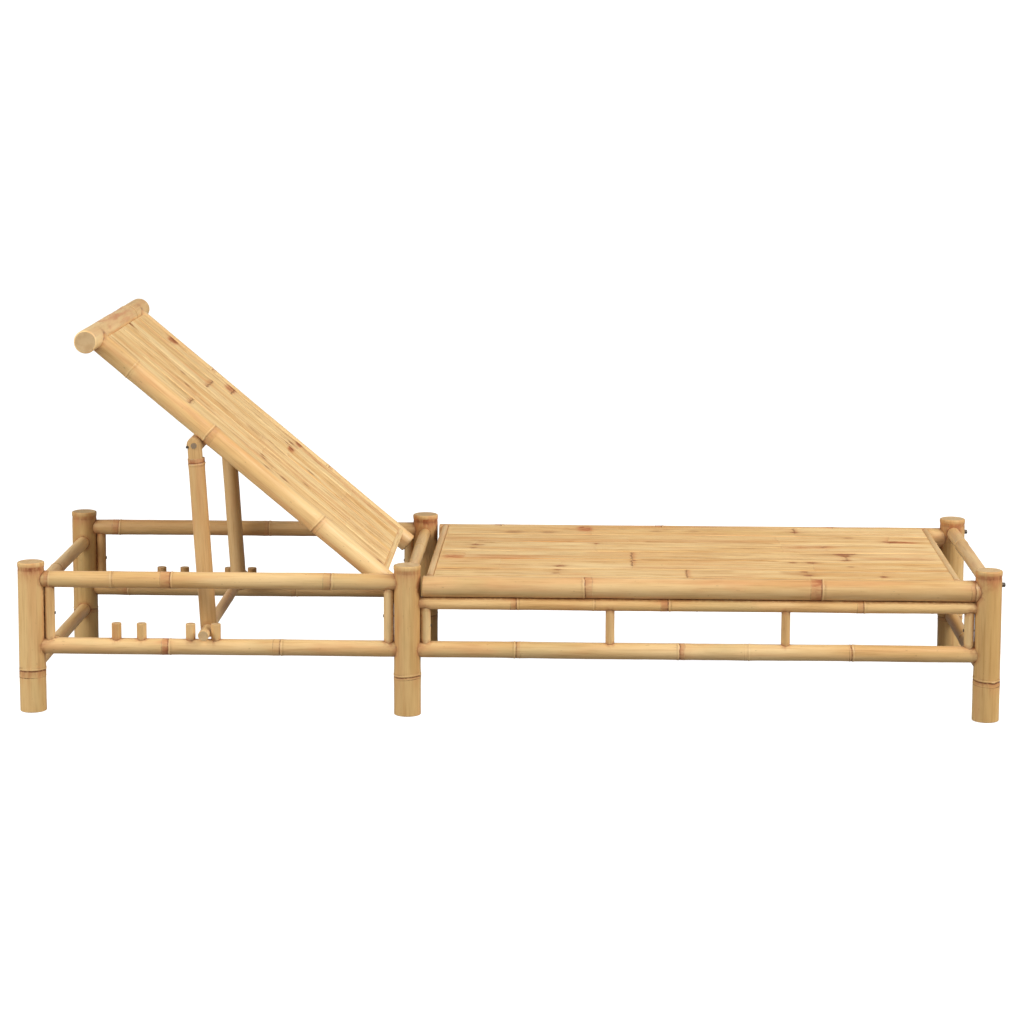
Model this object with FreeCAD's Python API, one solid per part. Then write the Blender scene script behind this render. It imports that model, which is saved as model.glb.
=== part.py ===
import FreeCAD, Part
import os, math
from FreeCAD import Vector as V

# Bamboo lounger with an adjustable backrest.
# Millimetres. +X runs along the length towards the foot end, -X towards the
# head end, Y is the width, +Z is up. The floor is z = 0.
# The backrest stands raised, its prop locked in the second pair of pegs.

os.makedirs("parts", exist_ok=True)

# ------------------------------------------------------------ driving sizes
shift_x = -2.65           # puts the origin in the middle of the overall box

post_r = 27.5             # six posts
post_h = 310.0
post_wall = 6.0
post_plug = 13.0          # closed top, cut just above a node
post_y = 297.5
post_x_head = -972.5
post_x_mid = -203.4
post_x_foot = 972.5
post_node_z = {"head_near": 79.0, "head_far": 84.0, "mid_near": 80.0,
               "mid_far": 76.0, "foot_near": 79.0, "foot_far": 86.0}

tenon = 12.0              # depth of a rail end inside a post
rail_r = 16.75            # lower side rails, and the upper ones of the head part
rail_wall = 5.0
rail_low_z = 135.7
rail_up_z = 274.0
seat_rail_r = 13.0        # upper side rails of the seat part
seat_rail_z = 231.8       # let 0.3 mm into the side poles, which rest on them

cross_r = 14.0            # cross rails between near and far posts
cross_mid_r = 12.2
cross_wall = 4.5
cross_head_up_z = 241.8
cross_head_low_z = 89.5
cross_mid_z = 269.6
cross_foot_up_z = 280.0
cross_foot_low_z = 92.5
cross_foot_tenon = 36.0   # long tenon, pinned by the bolt through the post

strut_r = 10.0            # short uprights beside the posts
spindle_r = 9.0           # free uprights in the seat part
spindle_x = [209.0, 565.0]

peg_r = 10.0              # stops for the prop's foot bar
peg_x = [-798.7, -747.0, -646.7, -594.8]
peg_top = 184.0
peg_bottom = 130.5

seat_pole_r = 21.5        # side poles of the seat
seat_pole_wall = 7.5
seat_pole_z = 266.0
seat_pole_x0 = -172.0
board_t = 8.0
seat_top = 287.0
seat_edges = [-288.0, -202.0, -98.0, -7.0, 101.0, 188.0, 288.0]
seat_x0 = -150.0
seat_x1 = 903.5
seat_batten_x = -158.0
seat_batten_r = 8.0
seat_rod_x = 911.0
seat_rod_r = 7.5
bar_r = 12.0              # hidden bars under the seat boards
bar_x = [-118.0, 215.0, 545.0, 870.0]

pivot_x = -262.0          # backrest hinge axis, along Y
pivot_z = 274.0
pivot_r = 7.0
pivot_gap = 0.06          # radial running clearance in the side rails
recline = 40.0            # backrest above the horizontal, degrees
back_y = 237.0
back_pole_r = 21.0
back_pole_wall = 7.5
back_low = -32.0          # s of the poles' lower ends (s runs up from the axis)
head_s = 763.0            # s of the head pole's axis
head_r = 23.9
head_half = 332.0
head_wall = 8.0
back_board_p = 18.0       # height of the boards' face over the pole axes
back_edges = [-224.0, -149.0, -55.0, 30.0, 145.0, 224.0]
back_bar_s = [120.0, 345.0, 650.0]
back_bar_r = 10.0

prop_s = 464.5            # prop hinge, measured on the backrest
prop_p = -36.5
cross_bar_r = 16.5        # bar under the side poles that carries the prop
cross_bar_half = 246.5
leg_y = 239.0
leg_r = 17.0
leg_wall = 5.0
tongue_in = 247.0         # inner face of the flattened top of each leg
tongue_r = 15.0
shoulder = 27.0           # full section starts this far below the hinge
foot_x = -617.6           # foot bar axis
foot_z = rail_low_z + rail_r + 11.0 + 0.3
foot_r = 11.0
foot_half = 322.0
bolt_r = 3.0
bolt_gap = 0.06

# ---------------------------------------------------------------- helpers
done = []


def save(name, shape):
    s = shape.copy()
    s.translate(V(shift_x, 0, 0))
    s = s.removeSplitter() if len(s.Solids) == 1 else s
    s.exportStep("parts/" + name + ".step")
    done.append(name)


def cyl(p0, p1, r):
    a, b = V(*p0), V(*p1)
    d = b.sub(a)
    return Part.makeCylinder(r, d.Length, a, d)


def place(shape, p0, p1):
    a, b = V(*p0), V(*p1)
    shape.Placement = FreeCAD.Placement(a, FreeCAD.Rotation(V(0, 0, 1), b.sub(a)))
    return shape


def rod_profile(L, r, nodes, bevel, ring):
    pts = [(0.0, 0.0), (r - bevel, 0.0), (r, bevel)]
    for z in sorted(nodes):
        pts += [(r, z - 4.0), (r + ring, z - 1.3), (r + ring, z + 1.3), (r, z + 4.0)]
    pts += [(r, L - bevel), (r - bevel, L), (0.0, L), (0.0, 0.0)]
    return pts


def culm(p0, p1, r, wall=0.0, nodes=(), plug0=0.0, plug1=0.0, bevel=0.6, ring=0.9):
    """A cane from p0 to p1 with raised rings at its nodes, and a bore that
    stops short of a closed end."""
    L = V(*p1).sub(V(*p0)).Length
    wire = Part.makePolygon([V(x, 0, z) for x, z in rod_profile(L, r, nodes, bevel, ring)])
    body = Part.Face(wire).revolve(V(0, 0, 0), V(0, 0, 1), 360)
    if wall > 0:
        z0 = plug0 if plug0 > 0 else -1.0
        z1 = L - plug1 if plug1 > 0 else L + 1.0
        body = body.cut(Part.makeCylinder(r - wall, z1 - z0, V(0, 0, z0)))
    return place(body, p0, p1)


def box(x0, x1, y0, y1, z0, z1):
    return Part.makeBox(x1 - x0, y1 - y0, z1 - z0, V(x0, y0, z0))


def one(shape):
    """The largest solid of a cut."""
    return max(shape.Solids, key=lambda s: s.Volume)


side = {"near": -1.0, "far": 1.0}

# ---------------------------------------------------------------- rails
# Each rail is a cane whose ends stand in sockets of the posts.
inset = post_r - tenon


def rail_x(xa, xb, y, z, r, wall, nodes):
    a, b = xa + inset, xb - inset
    return culm((a, y, z), (b, y, z), r, wall, [x - a for x in nodes])


rails, rail_solid = {}, {}
rail_nodes = {
    "rail_head_up_near": [-805.0, -687.0, -368.0],
    "rail_head_up_far": [-900.0, -560.0, -430.0],
    "rail_head_low_near": [],     # smooth, because the foot bar rests on them
    "rail_head_low_far": [],
    "rail_seat_up_near": [10.0, 320.0, 716.0],
    "rail_seat_up_far": [60.0, 410.0, 770.0],
    "rail_seat_low_near": [22.0, 350.0, 695.0],
    "rail_seat_low_far": [100.0, 455.0, 800.0],
}
for k, sy in side.items():
    y = sy * post_y
    for part, xa, xb, z, r, wall in [
            ("head_up", post_x_head, post_x_mid, rail_up_z, rail_r, rail_wall),
            ("head_low", post_x_head, post_x_mid, rail_low_z, rail_r, rail_wall),
            ("seat_up", post_x_mid, post_x_foot, seat_rail_z, seat_rail_r, 4.5),
            ("seat_low", post_x_mid, post_x_foot, rail_low_z, rail_r, rail_wall)]:
        name = "rail_%s_%s" % (part, k)
        rails[name] = rail_x(xa, xb, y, z, r, wall, rail_nodes[name])
        rail_solid[name] = cyl((xa + inset, y, z), (xb - inset, y, z), r)

cross = {}
cross_solid = {}
cy = post_y - inset


def cross_rail(name, x, z, r, half, nodes):
    cross[name] = culm((x, -half, z), (x, half, z), r, cross_wall, [n + half for n in nodes])
    cross_solid[name] = cyl((x, -half, z), (x, half, z), r)


cross_rail("cross_head_up", post_x_head, cross_head_up_z, cross_r, cy, [-40.0])
cross_rail("cross_head_low", post_x_head, cross_head_low_z, cross_r, cy, [-60.0])
cross_rail("cross_mid", post_x_mid, cross_mid_z, cross_mid_r, cy, [85.0])
cross_rail("cross_foot_up", post_x_foot, cross_foot_up_z, cross_r,
           cy - tenon + cross_foot_tenon, [120.0])
cross_rail("cross_foot_low", post_x_foot, cross_foot_low_z, cross_r, cy, [30.0])

# ---------------------------------------------------------------- posts
posts, post_solid = {}, {}
post_at = {"head": post_x_head, "mid": post_x_mid, "foot": post_x_foot}
for e, px in post_at.items():
    for k, sy in side.items():
        key = "%s_%s" % (e, k)
        y = sy * post_y
        p = culm((px, y, 0), (px, y, post_h), post_r, post_wall,
                 [post_node_z[key], post_h - 12.0], 0.0, post_plug, 1.5, 0.7)
        for s in rail_solid.values():
            p = p.cut(s)
        for s in cross_solid.values():
            p = p.cut(s)
        posts["post_" + key] = one(p)
        post_solid[key] = cyl((px, y, 0), (px, y, post_h), post_r)

# ---------------------------------------------------------------- uprights
# Struts stand against the posts between two rails, their ends hollowed to
# sit on the rails. One screw holds each to its post.
struts, screws = {}, []
for k, sy in side.items():
    y = sy * post_y
    for name, px, sx, part, ztop in [
            ("strut_head", post_x_head, 1.0, "head", rail_up_z),
            ("strut_mid_head", post_x_mid, -1.0, "head", rail_up_z),
            ("strut_mid_seat", post_x_mid, 1.0, "seat", seat_rail_z),
            ("strut_foot", post_x_foot, -1.0, "seat", seat_rail_z)]:
        x = px + sx * (post_r + strut_r)
        s = cyl((x, y, rail_low_z), (x, y, ztop), strut_r)
        s = s.cut(rail_solid["rail_%s_low_%s" % (part, k)])
        s = s.cut(rail_solid["rail_%s_up_%s" % (part, k)])
        zs = 204.0 if part == "head" else 185.0
        xo = x + sx * strut_r                      # outer side of the strut
        shank = cyl((xo, y, zs), (xo - sx * (2 * strut_r + 6.0), y, zs), 1.6)
        head = cyl((xo - sx * 0.6, y, zs), (xo + sx * 1.8, y, zs), 3.0)
        screw = shank.fuse(head)
        key = "post_%s_%s" % ({"strut_head": "head", "strut_mid_head": "mid",
                               "strut_mid_seat": "mid", "strut_foot": "foot"}[name], k)
        posts[key] = one(posts[key].cut(screw))
        struts["%s_%s" % (name, k)] = one(s.cut(screw))
        screws.append(screw)

spindles = {}
for k, sy in side.items():
    y = sy * post_y
    for i, x in enumerate(spindle_x):
        s = cyl((x, y, rail_low_z), (x, y, seat_rail_z), spindle_r)
        s = s.cut(rail_solid["rail_seat_low_" + k]).cut(rail_solid["rail_seat_up_" + k])
        spindles["spindle_%s_%d" % (k, i + 1)] = one(s)

# Pegs: four dowels in each lower side rail of the head part.
pegs = {}
for k, sy in side.items():
    y = sy * post_y
    row = []
    for x in peg_x:
        row.append(culm((x, y, peg_bottom), (x, y, peg_top), peg_r, 0.0, (), 0, 0, 0.8))
        n = "rail_head_low_" + k
        rails[n] = one(rails[n].cut(cyl((x, y, peg_bottom), (x, y, peg_top), peg_r)))
    pegs["pegs_" + k] = Part.makeCompound(row)

# ---------------------------------------------------------------- seat
# Side poles rest on the upper seat rails and butt against the foot posts.
seat_pole, seat_pole_solid = {}, {}
seat_nodes = {"near": [150.0, 625.0, 926.0], "far": [-40.0, 318.0, 700.0]}
for k, sy in side.items():
    y = sy * post_y
    x1 = post_x_foot - 14.0
    s = culm((seat_pole_x0, y, seat_pole_z), (x1, y, seat_pole_z), seat_pole_r,
             seat_pole_wall, [x - seat_pole_x0 for x in seat_nodes[k]], 30.0, 45.0, 1.0, 0.9)
    seat_pole[k] = s.cut(post_solid["foot_" + k])
    seat_pole_solid[k] = cyl((seat_pole_x0, y, seat_pole_z), (x1, y, seat_pole_z), seat_pole_r)

bars = {}
bz = seat_top - board_t - bar_r
for i, x in enumerate(bar_x):
    h = post_y - math.sqrt(seat_pole_r ** 2 - (bz - seat_pole_z) ** 2) + 8.0
    bars["seat_bar_%d" % (i + 1)] = culm((x, -h, bz), (x, h, bz), bar_r, 4.5)
    for k in side:
        seat_pole[k] = seat_pole[k].cut(cyl((x, -h, bz), (x, h, bz), bar_r))

ends = {}
for name, x, r, z in [("seat_batten", seat_batten_x, seat_batten_r, seat_top - 7.0),
                      ("seat_end_rod", seat_rod_x, seat_rod_r, seat_top - 6.5)]:
    h = 287.0
    ends[name] = culm((x, -h, z), (x, h, z), r, 0.0, (), 0, 0, 0.5)
    for k in side:
        seat_pole[k] = seat_pole[k].cut(cyl((x, -h, z), (x, h, z), r))

slats = []
for i in range(len(seat_edges) - 1):
    y0, y1 = seat_edges[i], seat_edges[i + 1]
    g0 = 0.0 if i == 0 else 0.6
    g1 = 0.0 if i == len(seat_edges) - 2 else 0.6
    b = box(seat_x0, seat_x1, y0 + g0, y1 - g1, seat_top - board_t, seat_top)
    for k, sy in side.items():
        if (i == 0 and sy < 0) or (i == len(seat_edges) - 2 and sy > 0):
            b = b.cut(cyl((seat_x0 - 5, sy * post_y, seat_pole_z),
                          (seat_x1 + 5, sy * post_y, seat_pole_z), seat_pole_r + 0.9))
    b = b.cut(cyl((seat_batten_x, -300, seat_top - 7.0), (seat_batten_x, 300, seat_top - 7.0), seat_batten_r))
    b = b.cut(cyl((seat_rod_x, -300, seat_top - 6.5), (seat_rod_x, 300, seat_top - 6.5), seat_rod_r))
    slats.append(one(b))

# Screws up through the seat rails into the side poles.
seat_screws = []
for k, sy in side.items():
    y = sy * post_y
    for x in (-90.0, 385.0, 860.0):
        zb = seat_rail_z - seat_rail_r
        sc = cyl((x, y, zb + 0.5), (x, y, zb + 3.0), 4.0).fuse(
            cyl((x, y, zb + 1.0), (x, y, seat_pole_z - seat_pole_r + 6.0), 2.0))
        tool = cyl((x, y, zb - 3.0), (x, y, zb + 3.0), 4.0).fuse(
            cyl((x, y, zb + 1.0), (x, y, seat_pole_z - seat_pole_r + 6.0), 2.0))
        n = "rail_seat_up_" + k
        rails[n] = rails[n].cut(tool)
        seat_pole[k] = seat_pole[k].cut(tool)
        seat_screws.append(sc)
for k in side:
    n = "rail_seat_up_" + k
    seat_pole[k] = one(seat_pole[k])
    rails[n] = one(rails[n].cut(seat_pole[k]))

# Bolts through the outer side of the foot posts, the cross rail's tenon and
# on into the end of each side pole.
foot_bolts = []
for k, sy in side.items():
    y = sy * post_y
    z = cross_foot_up_z
    xo = post_x_foot + post_r
    shank = cyl((xo - 2.0, y, z), (xo - 72.0, y, z), bolt_r)
    head = Part.makeCylinder(4.7, 6.0, V(xo, y, z), V(1, 0, 0))
    head = head.makeFillet(2.2, [e for e in head.Edges
                                 if abs(e.BoundBox.XMin - (xo + 6.0)) < 1e-6 and abs(e.BoundBox.XMax - (xo + 6.0)) < 1e-6])
    washer = cyl((xo - 2.0, y, z), (xo, y, z), 4.7)
    b = shank.fuse(washer).fuse(head)
    foot_bolts.append(b)
    posts["post_foot_" + k] = one(posts["post_foot_" + k].cut(b))
    seat_pole[k] = one(seat_pole[k].cut(b))
    cross["cross_foot_up"] = cross["cross_foot_up"].cut(b)

# ---------------------------------------------------------------- backrest
# Drawn lying flat, s up from the hinge axis along -X and p above it, then
# turned up about the hinge axis.


def bx(s):
    return pivot_x - s


def bzz(p):
    return pivot_z + p


def raise_back(shape):
    s = shape.copy()
    s.rotate(V(pivot_x, 0, pivot_z), V(0, 1, 0), recline)
    return s


head_cyl = cyl((bx(head_s), -head_half, bzz(0)), (bx(head_s), head_half, bzz(0)), head_r)
back_nodes = {"near": [148.0, 438.0], "far": [210.0, 545.0]}
back_pole, back_cyl = {}, {}
for k, sy in side.items():
    y = sy * back_y
    s1 = head_s - 6.0
    s = culm((bx(back_low), y, bzz(0)), (bx(s1), y, bzz(0)), back_pole_r, back_pole_wall,
             [n - back_low for n in back_nodes[k]], 0.0, 0.0, 1.0, 0.9)
    back_pole[k] = s.cut(head_cyl)
    back_cyl[k] = cyl((bx(back_low), y, bzz(0)), (bx(s1), y, bzz(0)), back_pole_r)

head_pole = culm((bx(head_s), -head_half, bzz(0)), (bx(head_s), head_half, bzz(0)), head_r,
                 head_wall, [160.0 + head_half], 12.0, 12.0, 1.5, 0.7)
dowels = []
for k, sy in side.items():
    d = cyl((bx(690.0), sy * back_y, bzz(0)), (bx(head_s - 9.0), sy * back_y, bzz(0)),
            back_pole_r - back_pole_wall)
    head_pole = head_pole.cut(d)
    dowels.append(d)

pivot_rod = culm((bx(0), -290.0, bzz(0)), (bx(0), 290.0, bzz(0)), pivot_r, 0.0, (), 0, 0, 0.5)
pivot_tool = cyl((bx(0), -290.0, bzz(0)), (bx(0), 290.0, bzz(0)), pivot_r)
for k in side:
    back_pole[k] = back_pole[k].cut(pivot_tool)

back_bars = {}
for i, s in enumerate(back_bar_s):
    h = back_y - back_pole_r + 8.0
    c = cyl((bx(s), -h, bzz(0)), (bx(s), h, bzz(0)), back_bar_r)
    back_bars["back_bar_%d" % (i + 1)] = culm((bx(s), -h, bzz(0)), (bx(s), h, bzz(0)), back_bar_r, 4.0)
    for k in side:
        back_pole[k] = back_pole[k].cut(c)

batten = box(bx(8.5), bx(-5.5), -224.0, 224.0, bzz(back_board_p - 7.0), bzz(back_board_p))
batten = batten.makeFillet(1.5, [e for e in batten.Edges if abs(e.BoundBox.ZMin - bzz(back_board_p)) < 1e-6
                                 and e.BoundBox.YLength > 100])
back_slats = []
for i in range(len(back_edges) - 1):
    y0, y1 = back_edges[i], back_edges[i + 1]
    g0 = 0.0 if i == 0 else 0.6
    g1 = 0.0 if i == len(back_edges) - 2 else 0.6
    b = box(bx(748.0), bx(8.5), y0 + g0, y1 - g1, bzz(back_board_p - board_t), bzz(back_board_p))
    b = b.cut(head_cyl).cut(head_pole)
    for k, sy in side.items():
        if (i == 0 and sy < 0) or (i == len(back_edges) - 2 and sy > 0):
            b = b.cut(cyl((bx(-10), sy * back_y, bzz(0)), (bx(760), sy * back_y, bzz(0)), back_pole_r + 0.9))
    back_slats.append(one(b))
for k, sy in side.items():
    batten = batten.cut(back_cyl[k])
batten = one(batten)

carrier = culm((bx(prop_s), -cross_bar_half, bzz(prop_p)), (bx(prop_s), cross_bar_half, bzz(prop_p)),
               cross_bar_r, 0.0, [-30.0 + cross_bar_half], 0, 0, 0.6)
for k in side:
    carrier = carrier.cut(back_cyl[k])

carrier_screws = []
for k, sy in side.items():
    y = sy * (back_y - 6.0)
    c = cyl((bx(prop_s), y, bzz(prop_p - cross_bar_r + 0.5)), (bx(prop_s), y, bzz(-15.5)), 2.0)
    hd = cyl((bx(prop_s), y, bzz(prop_p - cross_bar_r + 0.5)), (bx(prop_s), y, bzz(prop_p - cross_bar_r + 3.0)), 4.0)
    t = cyl((bx(prop_s), y, bzz(prop_p - cross_bar_r - 4.0)), (bx(prop_s), y, bzz(prop_p - cross_bar_r + 3.0)), 4.0)
    carrier = carrier.cut(c).cut(t)
    back_pole[k] = back_pole[k].cut(c)
    carrier_screws.append(c.fuse(hd))

pivot_bolts = []
for k, sy in side.items():
    y_in, y_out = 221.0, 256.4
    c = cyl((bx(prop_s), sy * y_in, bzz(prop_p)), (bx(prop_s), sy * y_out, bzz(prop_p)), bolt_r)
    hd = cyl((bx(prop_s), sy * y_out, bzz(prop_p)), (bx(prop_s), sy * (y_out + 3.6), bzz(prop_p)), 6.0)
    carrier = carrier.cut(c)
    pivot_bolts.append(c.fuse(hd))
carrier = one(carrier)

# Blind holes for the hinge rod in the upper side rails.
for k, sy in side.items():
    n = "rail_head_up_" + k
    h = cyl((pivot_x, sy * 270.0, pivot_z), (pivot_x, sy * 291.0, pivot_z), pivot_r + pivot_gap)
    rails[n] = one(rails[n].cut(h))

# ---------------------------------------------------------------- prop
# Two legs and a foot bar, drawn hanging straight down and turned about the
# prop hinge.
a = math.radians(recline)
hx = pivot_x - prop_s * math.cos(a) + prop_p * math.sin(a)
hz = pivot_z + prop_s * math.sin(a) + prop_p * math.cos(a)
leg_len = math.hypot(foot_x - hx, foot_z - hz)
lean = math.degrees(math.atan2(foot_x - hx, hz - foot_z))


def lean_prop(shape):
    s = shape.copy()
    s.rotate(V(hx, 0, hz), V(0, 1, 0), -lean)
    return s


legs, leg_screws = {}, []
foot_bar = culm((hx, -foot_half, hz - leg_len), (hx, foot_half, hz - leg_len), foot_r,
                0.0, (), 0, 0, 1.2)
foot_cyl = cyl((hx, -foot_half, hz - leg_len), (hx, foot_half, hz - leg_len), foot_r)
for k, sy in side.items():
    y = sy * leg_y
    bottom = hz - leg_len - 17.0
    top = hz - shoulder
    body = culm((hx, y, bottom), (hx, y, top), leg_r, leg_wall, [top - 7.0 - bottom], 0.0, 22.0, 0.6, 0.8)
    ear = cyl((hx, y, top), (hx, y, hz + tongue_r), leg_r)
    lo, hi = sorted((sy * tongue_in, sy * 300.0))
    ear = ear.common(box(hx - 30, hx + 30, lo, hi, top, hz + tongue_r))
    cap = cyl((hx, lo, hz), (hx, hi, hz), tongue_r).fuse(box(hx - tongue_r, hx + tongue_r, lo, hi, top, hz))
    ear = ear.common(cap)
    leg = body.fuse(ear)
    leg = leg.cut(cyl((hx, lo, hz), (hx, hi, hz), bolt_r + bolt_gap))
    leg = leg.cut(foot_cyl)
    ys = sy * (tongue_in + 3.4)
    zs = hz - 3.0
    sc = cyl((hx - 17.4, ys, zs), (hx - 13.0, ys, zs), 2.6).fuse(
        cyl((hx - 15.0, ys, zs), (hx - 6.5, ys, zs), 1.3))
    leg = leg.cut(sc)
    leg_screws.append(sc)
    legs[k] = one(leg.removeSplitter())

# ---------------------------------------------------------------- write out
for n, s in posts.items():
    save(n, s)
for n, s in rails.items():
    save(n, one(s))
for n, s in cross.items():
    save(n, one(s))
for n, s in struts.items():
    save(n, s)
for n, s in spindles.items():
    save(n, s)
for n, s in pegs.items():
    save(n, s)
for k in side:
    save("seat_pole_" + k, seat_pole[k])
save("seat_slats", Part.makeCompound(slats))
for n, s in ends.items():
    save(n, s)
for n, s in bars.items():
    save(n, s)
save("frame_screws", Part.makeCompound(screws + seat_screws))
save("foot_bolts", Part.makeCompound(foot_bolts))
for k in side:
    save("back_pole_" + k, raise_back(one(back_pole[k])))
save("head_pole", raise_back(one(head_pole)))
save("head_dowels", raise_back(Part.makeCompound(dowels)))
save("back_slats", raise_back(Part.makeCompound(back_slats)))
save("back_batten", raise_back(batten))
for n, s in back_bars.items():
    save(n, raise_back(s))
save("back_pivot_rod", raise_back(pivot_rod))
save("prop_carrier", raise_back(carrier))
save("carrier_bolts", raise_back(Part.makeCompound(carrier_screws + pivot_bolts)))
for k in side:
    save("prop_leg_" + k, lean_prop(legs[k]))
save("prop_foot_bar", lean_prop(foot_bar))
save("prop_leg_screws", lean_prop(Part.makeCompound(leg_screws)))

print("nodes", len(done))
print("prop hinge", round(hx + shift_x, 3), round(hz, 3), "leg", round(leg_len, 3), "lean", round(lean, 3))
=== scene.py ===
import math
import bpy
import numpy as np
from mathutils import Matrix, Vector


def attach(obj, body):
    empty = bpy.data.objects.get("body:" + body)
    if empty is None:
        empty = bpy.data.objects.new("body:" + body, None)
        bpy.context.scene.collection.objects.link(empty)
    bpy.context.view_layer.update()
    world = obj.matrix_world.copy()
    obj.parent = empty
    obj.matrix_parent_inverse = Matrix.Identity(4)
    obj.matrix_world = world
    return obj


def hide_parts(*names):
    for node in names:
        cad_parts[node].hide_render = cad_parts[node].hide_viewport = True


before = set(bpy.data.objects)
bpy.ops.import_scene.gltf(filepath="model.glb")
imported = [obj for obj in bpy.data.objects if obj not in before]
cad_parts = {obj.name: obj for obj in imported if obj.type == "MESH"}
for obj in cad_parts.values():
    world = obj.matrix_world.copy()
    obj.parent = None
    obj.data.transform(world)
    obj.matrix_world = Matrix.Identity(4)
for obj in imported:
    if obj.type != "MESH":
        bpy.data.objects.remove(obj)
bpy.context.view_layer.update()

# Bamboo lounger. Lengths below are millimetres in the frame of the drawing,
# which lies SHIFT millimetres from the row frame along X; meshes are metres.
SHIFT = -2.65
TAU = 2.0 * math.pi

# ------------------------------------------------------------------ sizes
POST_R, POST_H, POST_Y = 27.5, 310.0, 297.5
PX_HEAD, PX_MID, PX_FOOT = -972.5, -203.4, 972.5
RAIL_R, RAIL_LOW_Z, RAIL_UP_Z = 16.75, 135.7, 274.0
SEAT_RAIL_R, SEAT_RAIL_Z = 13.0, 231.8
POLE_R, POLE_Z, SEAT_TOP, BOARD_T = 21.5, 266.0, 287.0, 8.0
PIVOT_X, PIVOT_Z, RECLINE = -262.0, 274.0, 40.0
BACK_Y, BACK_R, HEAD_S, HEAD_R, HEAD_HALF = 237.0, 21.0, 763.0, 23.9, 332.0
PROP_S, PROP_P = 464.5, -36.5
FOOT_X, FOOT_R = -617.6, 11.0
FOOT_Z = RAIL_LOW_Z + RAIL_R + FOOT_R + 0.3

ca, sa = math.cos(math.radians(RECLINE)), math.sin(math.radians(RECLINE))


def back(s, y, p):
    """A point of the backrest: s up from the hinge, y across, p above the poles' axes."""
    return (PIVOT_X - s * ca + p * sa, y, PIVOT_Z + s * sa + p * ca)


HX, _, HZ = back(PROP_S, 0.0, PROP_P)
LEG_LEN = math.hypot(FOOT_X - HX, FOOT_Z - HZ)
LEAN = math.atan2(FOOT_X - HX, HZ - FOOT_Z)


def prop(x, y, z):
    """A point of the prop, drawn hanging straight down from its hinge."""
    return (HX + x * math.cos(LEAN) - z * math.sin(LEAN), y, HZ + x * math.sin(LEAN) + z * math.cos(LEAN))


# ------------------------------------------------------------------ meshes
def make_mesh(name, verts, faces, attrs, mats, face_mat=None, flat=None):
    """A mesh object from points in millimetres, quads and triangles, with
    attributes for the materials."""
    verts = np.asarray(verts, float).copy()
    verts[:, 0] += SHIFT
    verts *= 0.001
    me = bpy.data.meshes.new(name)
    counts = np.array([len(f) for f in faces], np.int32) if isinstance(faces, list) else None
    if counts is None:
        loops = faces.reshape(-1)
        counts = np.full(len(faces), faces.shape[1], np.int32)
    else:
        loops = np.concatenate([np.asarray(f, np.int32) for f in faces])
    starts = np.concatenate([[0], np.cumsum(counts)[:-1]]).astype(np.int32)
    me.vertices.add(len(verts))
    me.vertices.foreach_set("co", verts.astype(np.float32).ravel())
    me.loops.add(len(loops))
    me.loops.foreach_set("vertex_index", loops.astype(np.int32))
    me.polygons.add(len(counts))
    me.polygons.foreach_set("loop_start", starts)
    me.polygons.foreach_set("loop_total", counts)
    smooth = np.ones(len(counts), bool)
    if flat is not None:
        smooth[flat] = False
    me.polygons.foreach_set("use_smooth", smooth)
    if face_mat is not None:
        me.polygons.foreach_set("material_index", np.asarray(face_mat, np.int32))
    for k, v in attrs.items():
        v = np.asarray(v, np.float32)
        a = me.attributes.new(k, "FLOAT_VECTOR" if v.ndim == 2 else "FLOAT", "POINT")
        a.data.foreach_set("vector" if v.ndim == 2 else "value", v.ravel())
    me.update(calc_edges=True)
    me.validate()
    for m in mats:
        me.materials.append(m)
    o = bpy.data.objects.new(name, me)
    bpy.context.scene.collection.objects.link(o)
    return o


def merge(parts):
    """Joins (verts, quads, tris, attrs) pieces into one."""
    V, Q, T, A, n = [], [], [], {}, 0
    for v, q, t, a in parts:
        V.append(v)
        if len(q):
            Q.append(np.asarray(q) + n)
        if len(t):
            T.append(np.asarray(t) + n)
        for k, x in a.items():
            A.setdefault(k, []).append(x)
        n += len(v)
    return (np.concatenate(V), np.concatenate(Q) if Q else np.zeros((0, 4), int),
            np.concatenate(T) if T else np.zeros((0, 3), int),
            {k: np.concatenate(x) for k, x in A.items()})


def build(name, piece, mats, body, replaces=()):
    v, q, t, a = piece
    faces = [row for row in q] + [row for row in t] if len(t) else q
    o = make_mesh(name, v, faces, a, mats)
    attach(o, body)
    if replaces:
        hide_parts(*replaces)
    return o


def smooth01(x):
    x = np.clip(x, 0.0, 1.0)
    return x * x * (3.0 - 2.0 * x)


class Wave:
    """A smooth random function of a length and an angle, in millimetres and radians."""

    def __init__(self, rng, n, long_min, long_max, turns):
        self.k = TAU / rng.uniform(long_min, long_max, n)
        self.m = rng.integers(0, turns + 1, n)
        self.p = rng.uniform(0, TAU, n)
        self.a = rng.normal(0, 1, n) / math.sqrt(n)

    def __call__(self, s, t):
        out = 0.0
        for k, m, p, a in zip(self.k, self.m, self.p, self.a):
            out = out + a * np.cos(k * s + m * t + p)
        return out


RING_STEPS = (-4.6, -3.4, -2.5, -1.8, -1.2, -0.6, 0.0, 0.6, 1.2, 1.8, 2.5, 3.4, 4.6)


def node_width(r):
    """The usual distance between the sheath scar and the ridge of a node."""
    return 11.5 * (r / 16.75) ** 0.7


def segment_gap(P, a, b, r):
    """Distance from points to the surface of a round bar."""
    d = b - a
    t = np.clip((P - a) @ d / (d @ d), 0.0, 1.0)
    return np.linalg.norm(P - (a + t[:, None] * d), axis=1) - r


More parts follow.
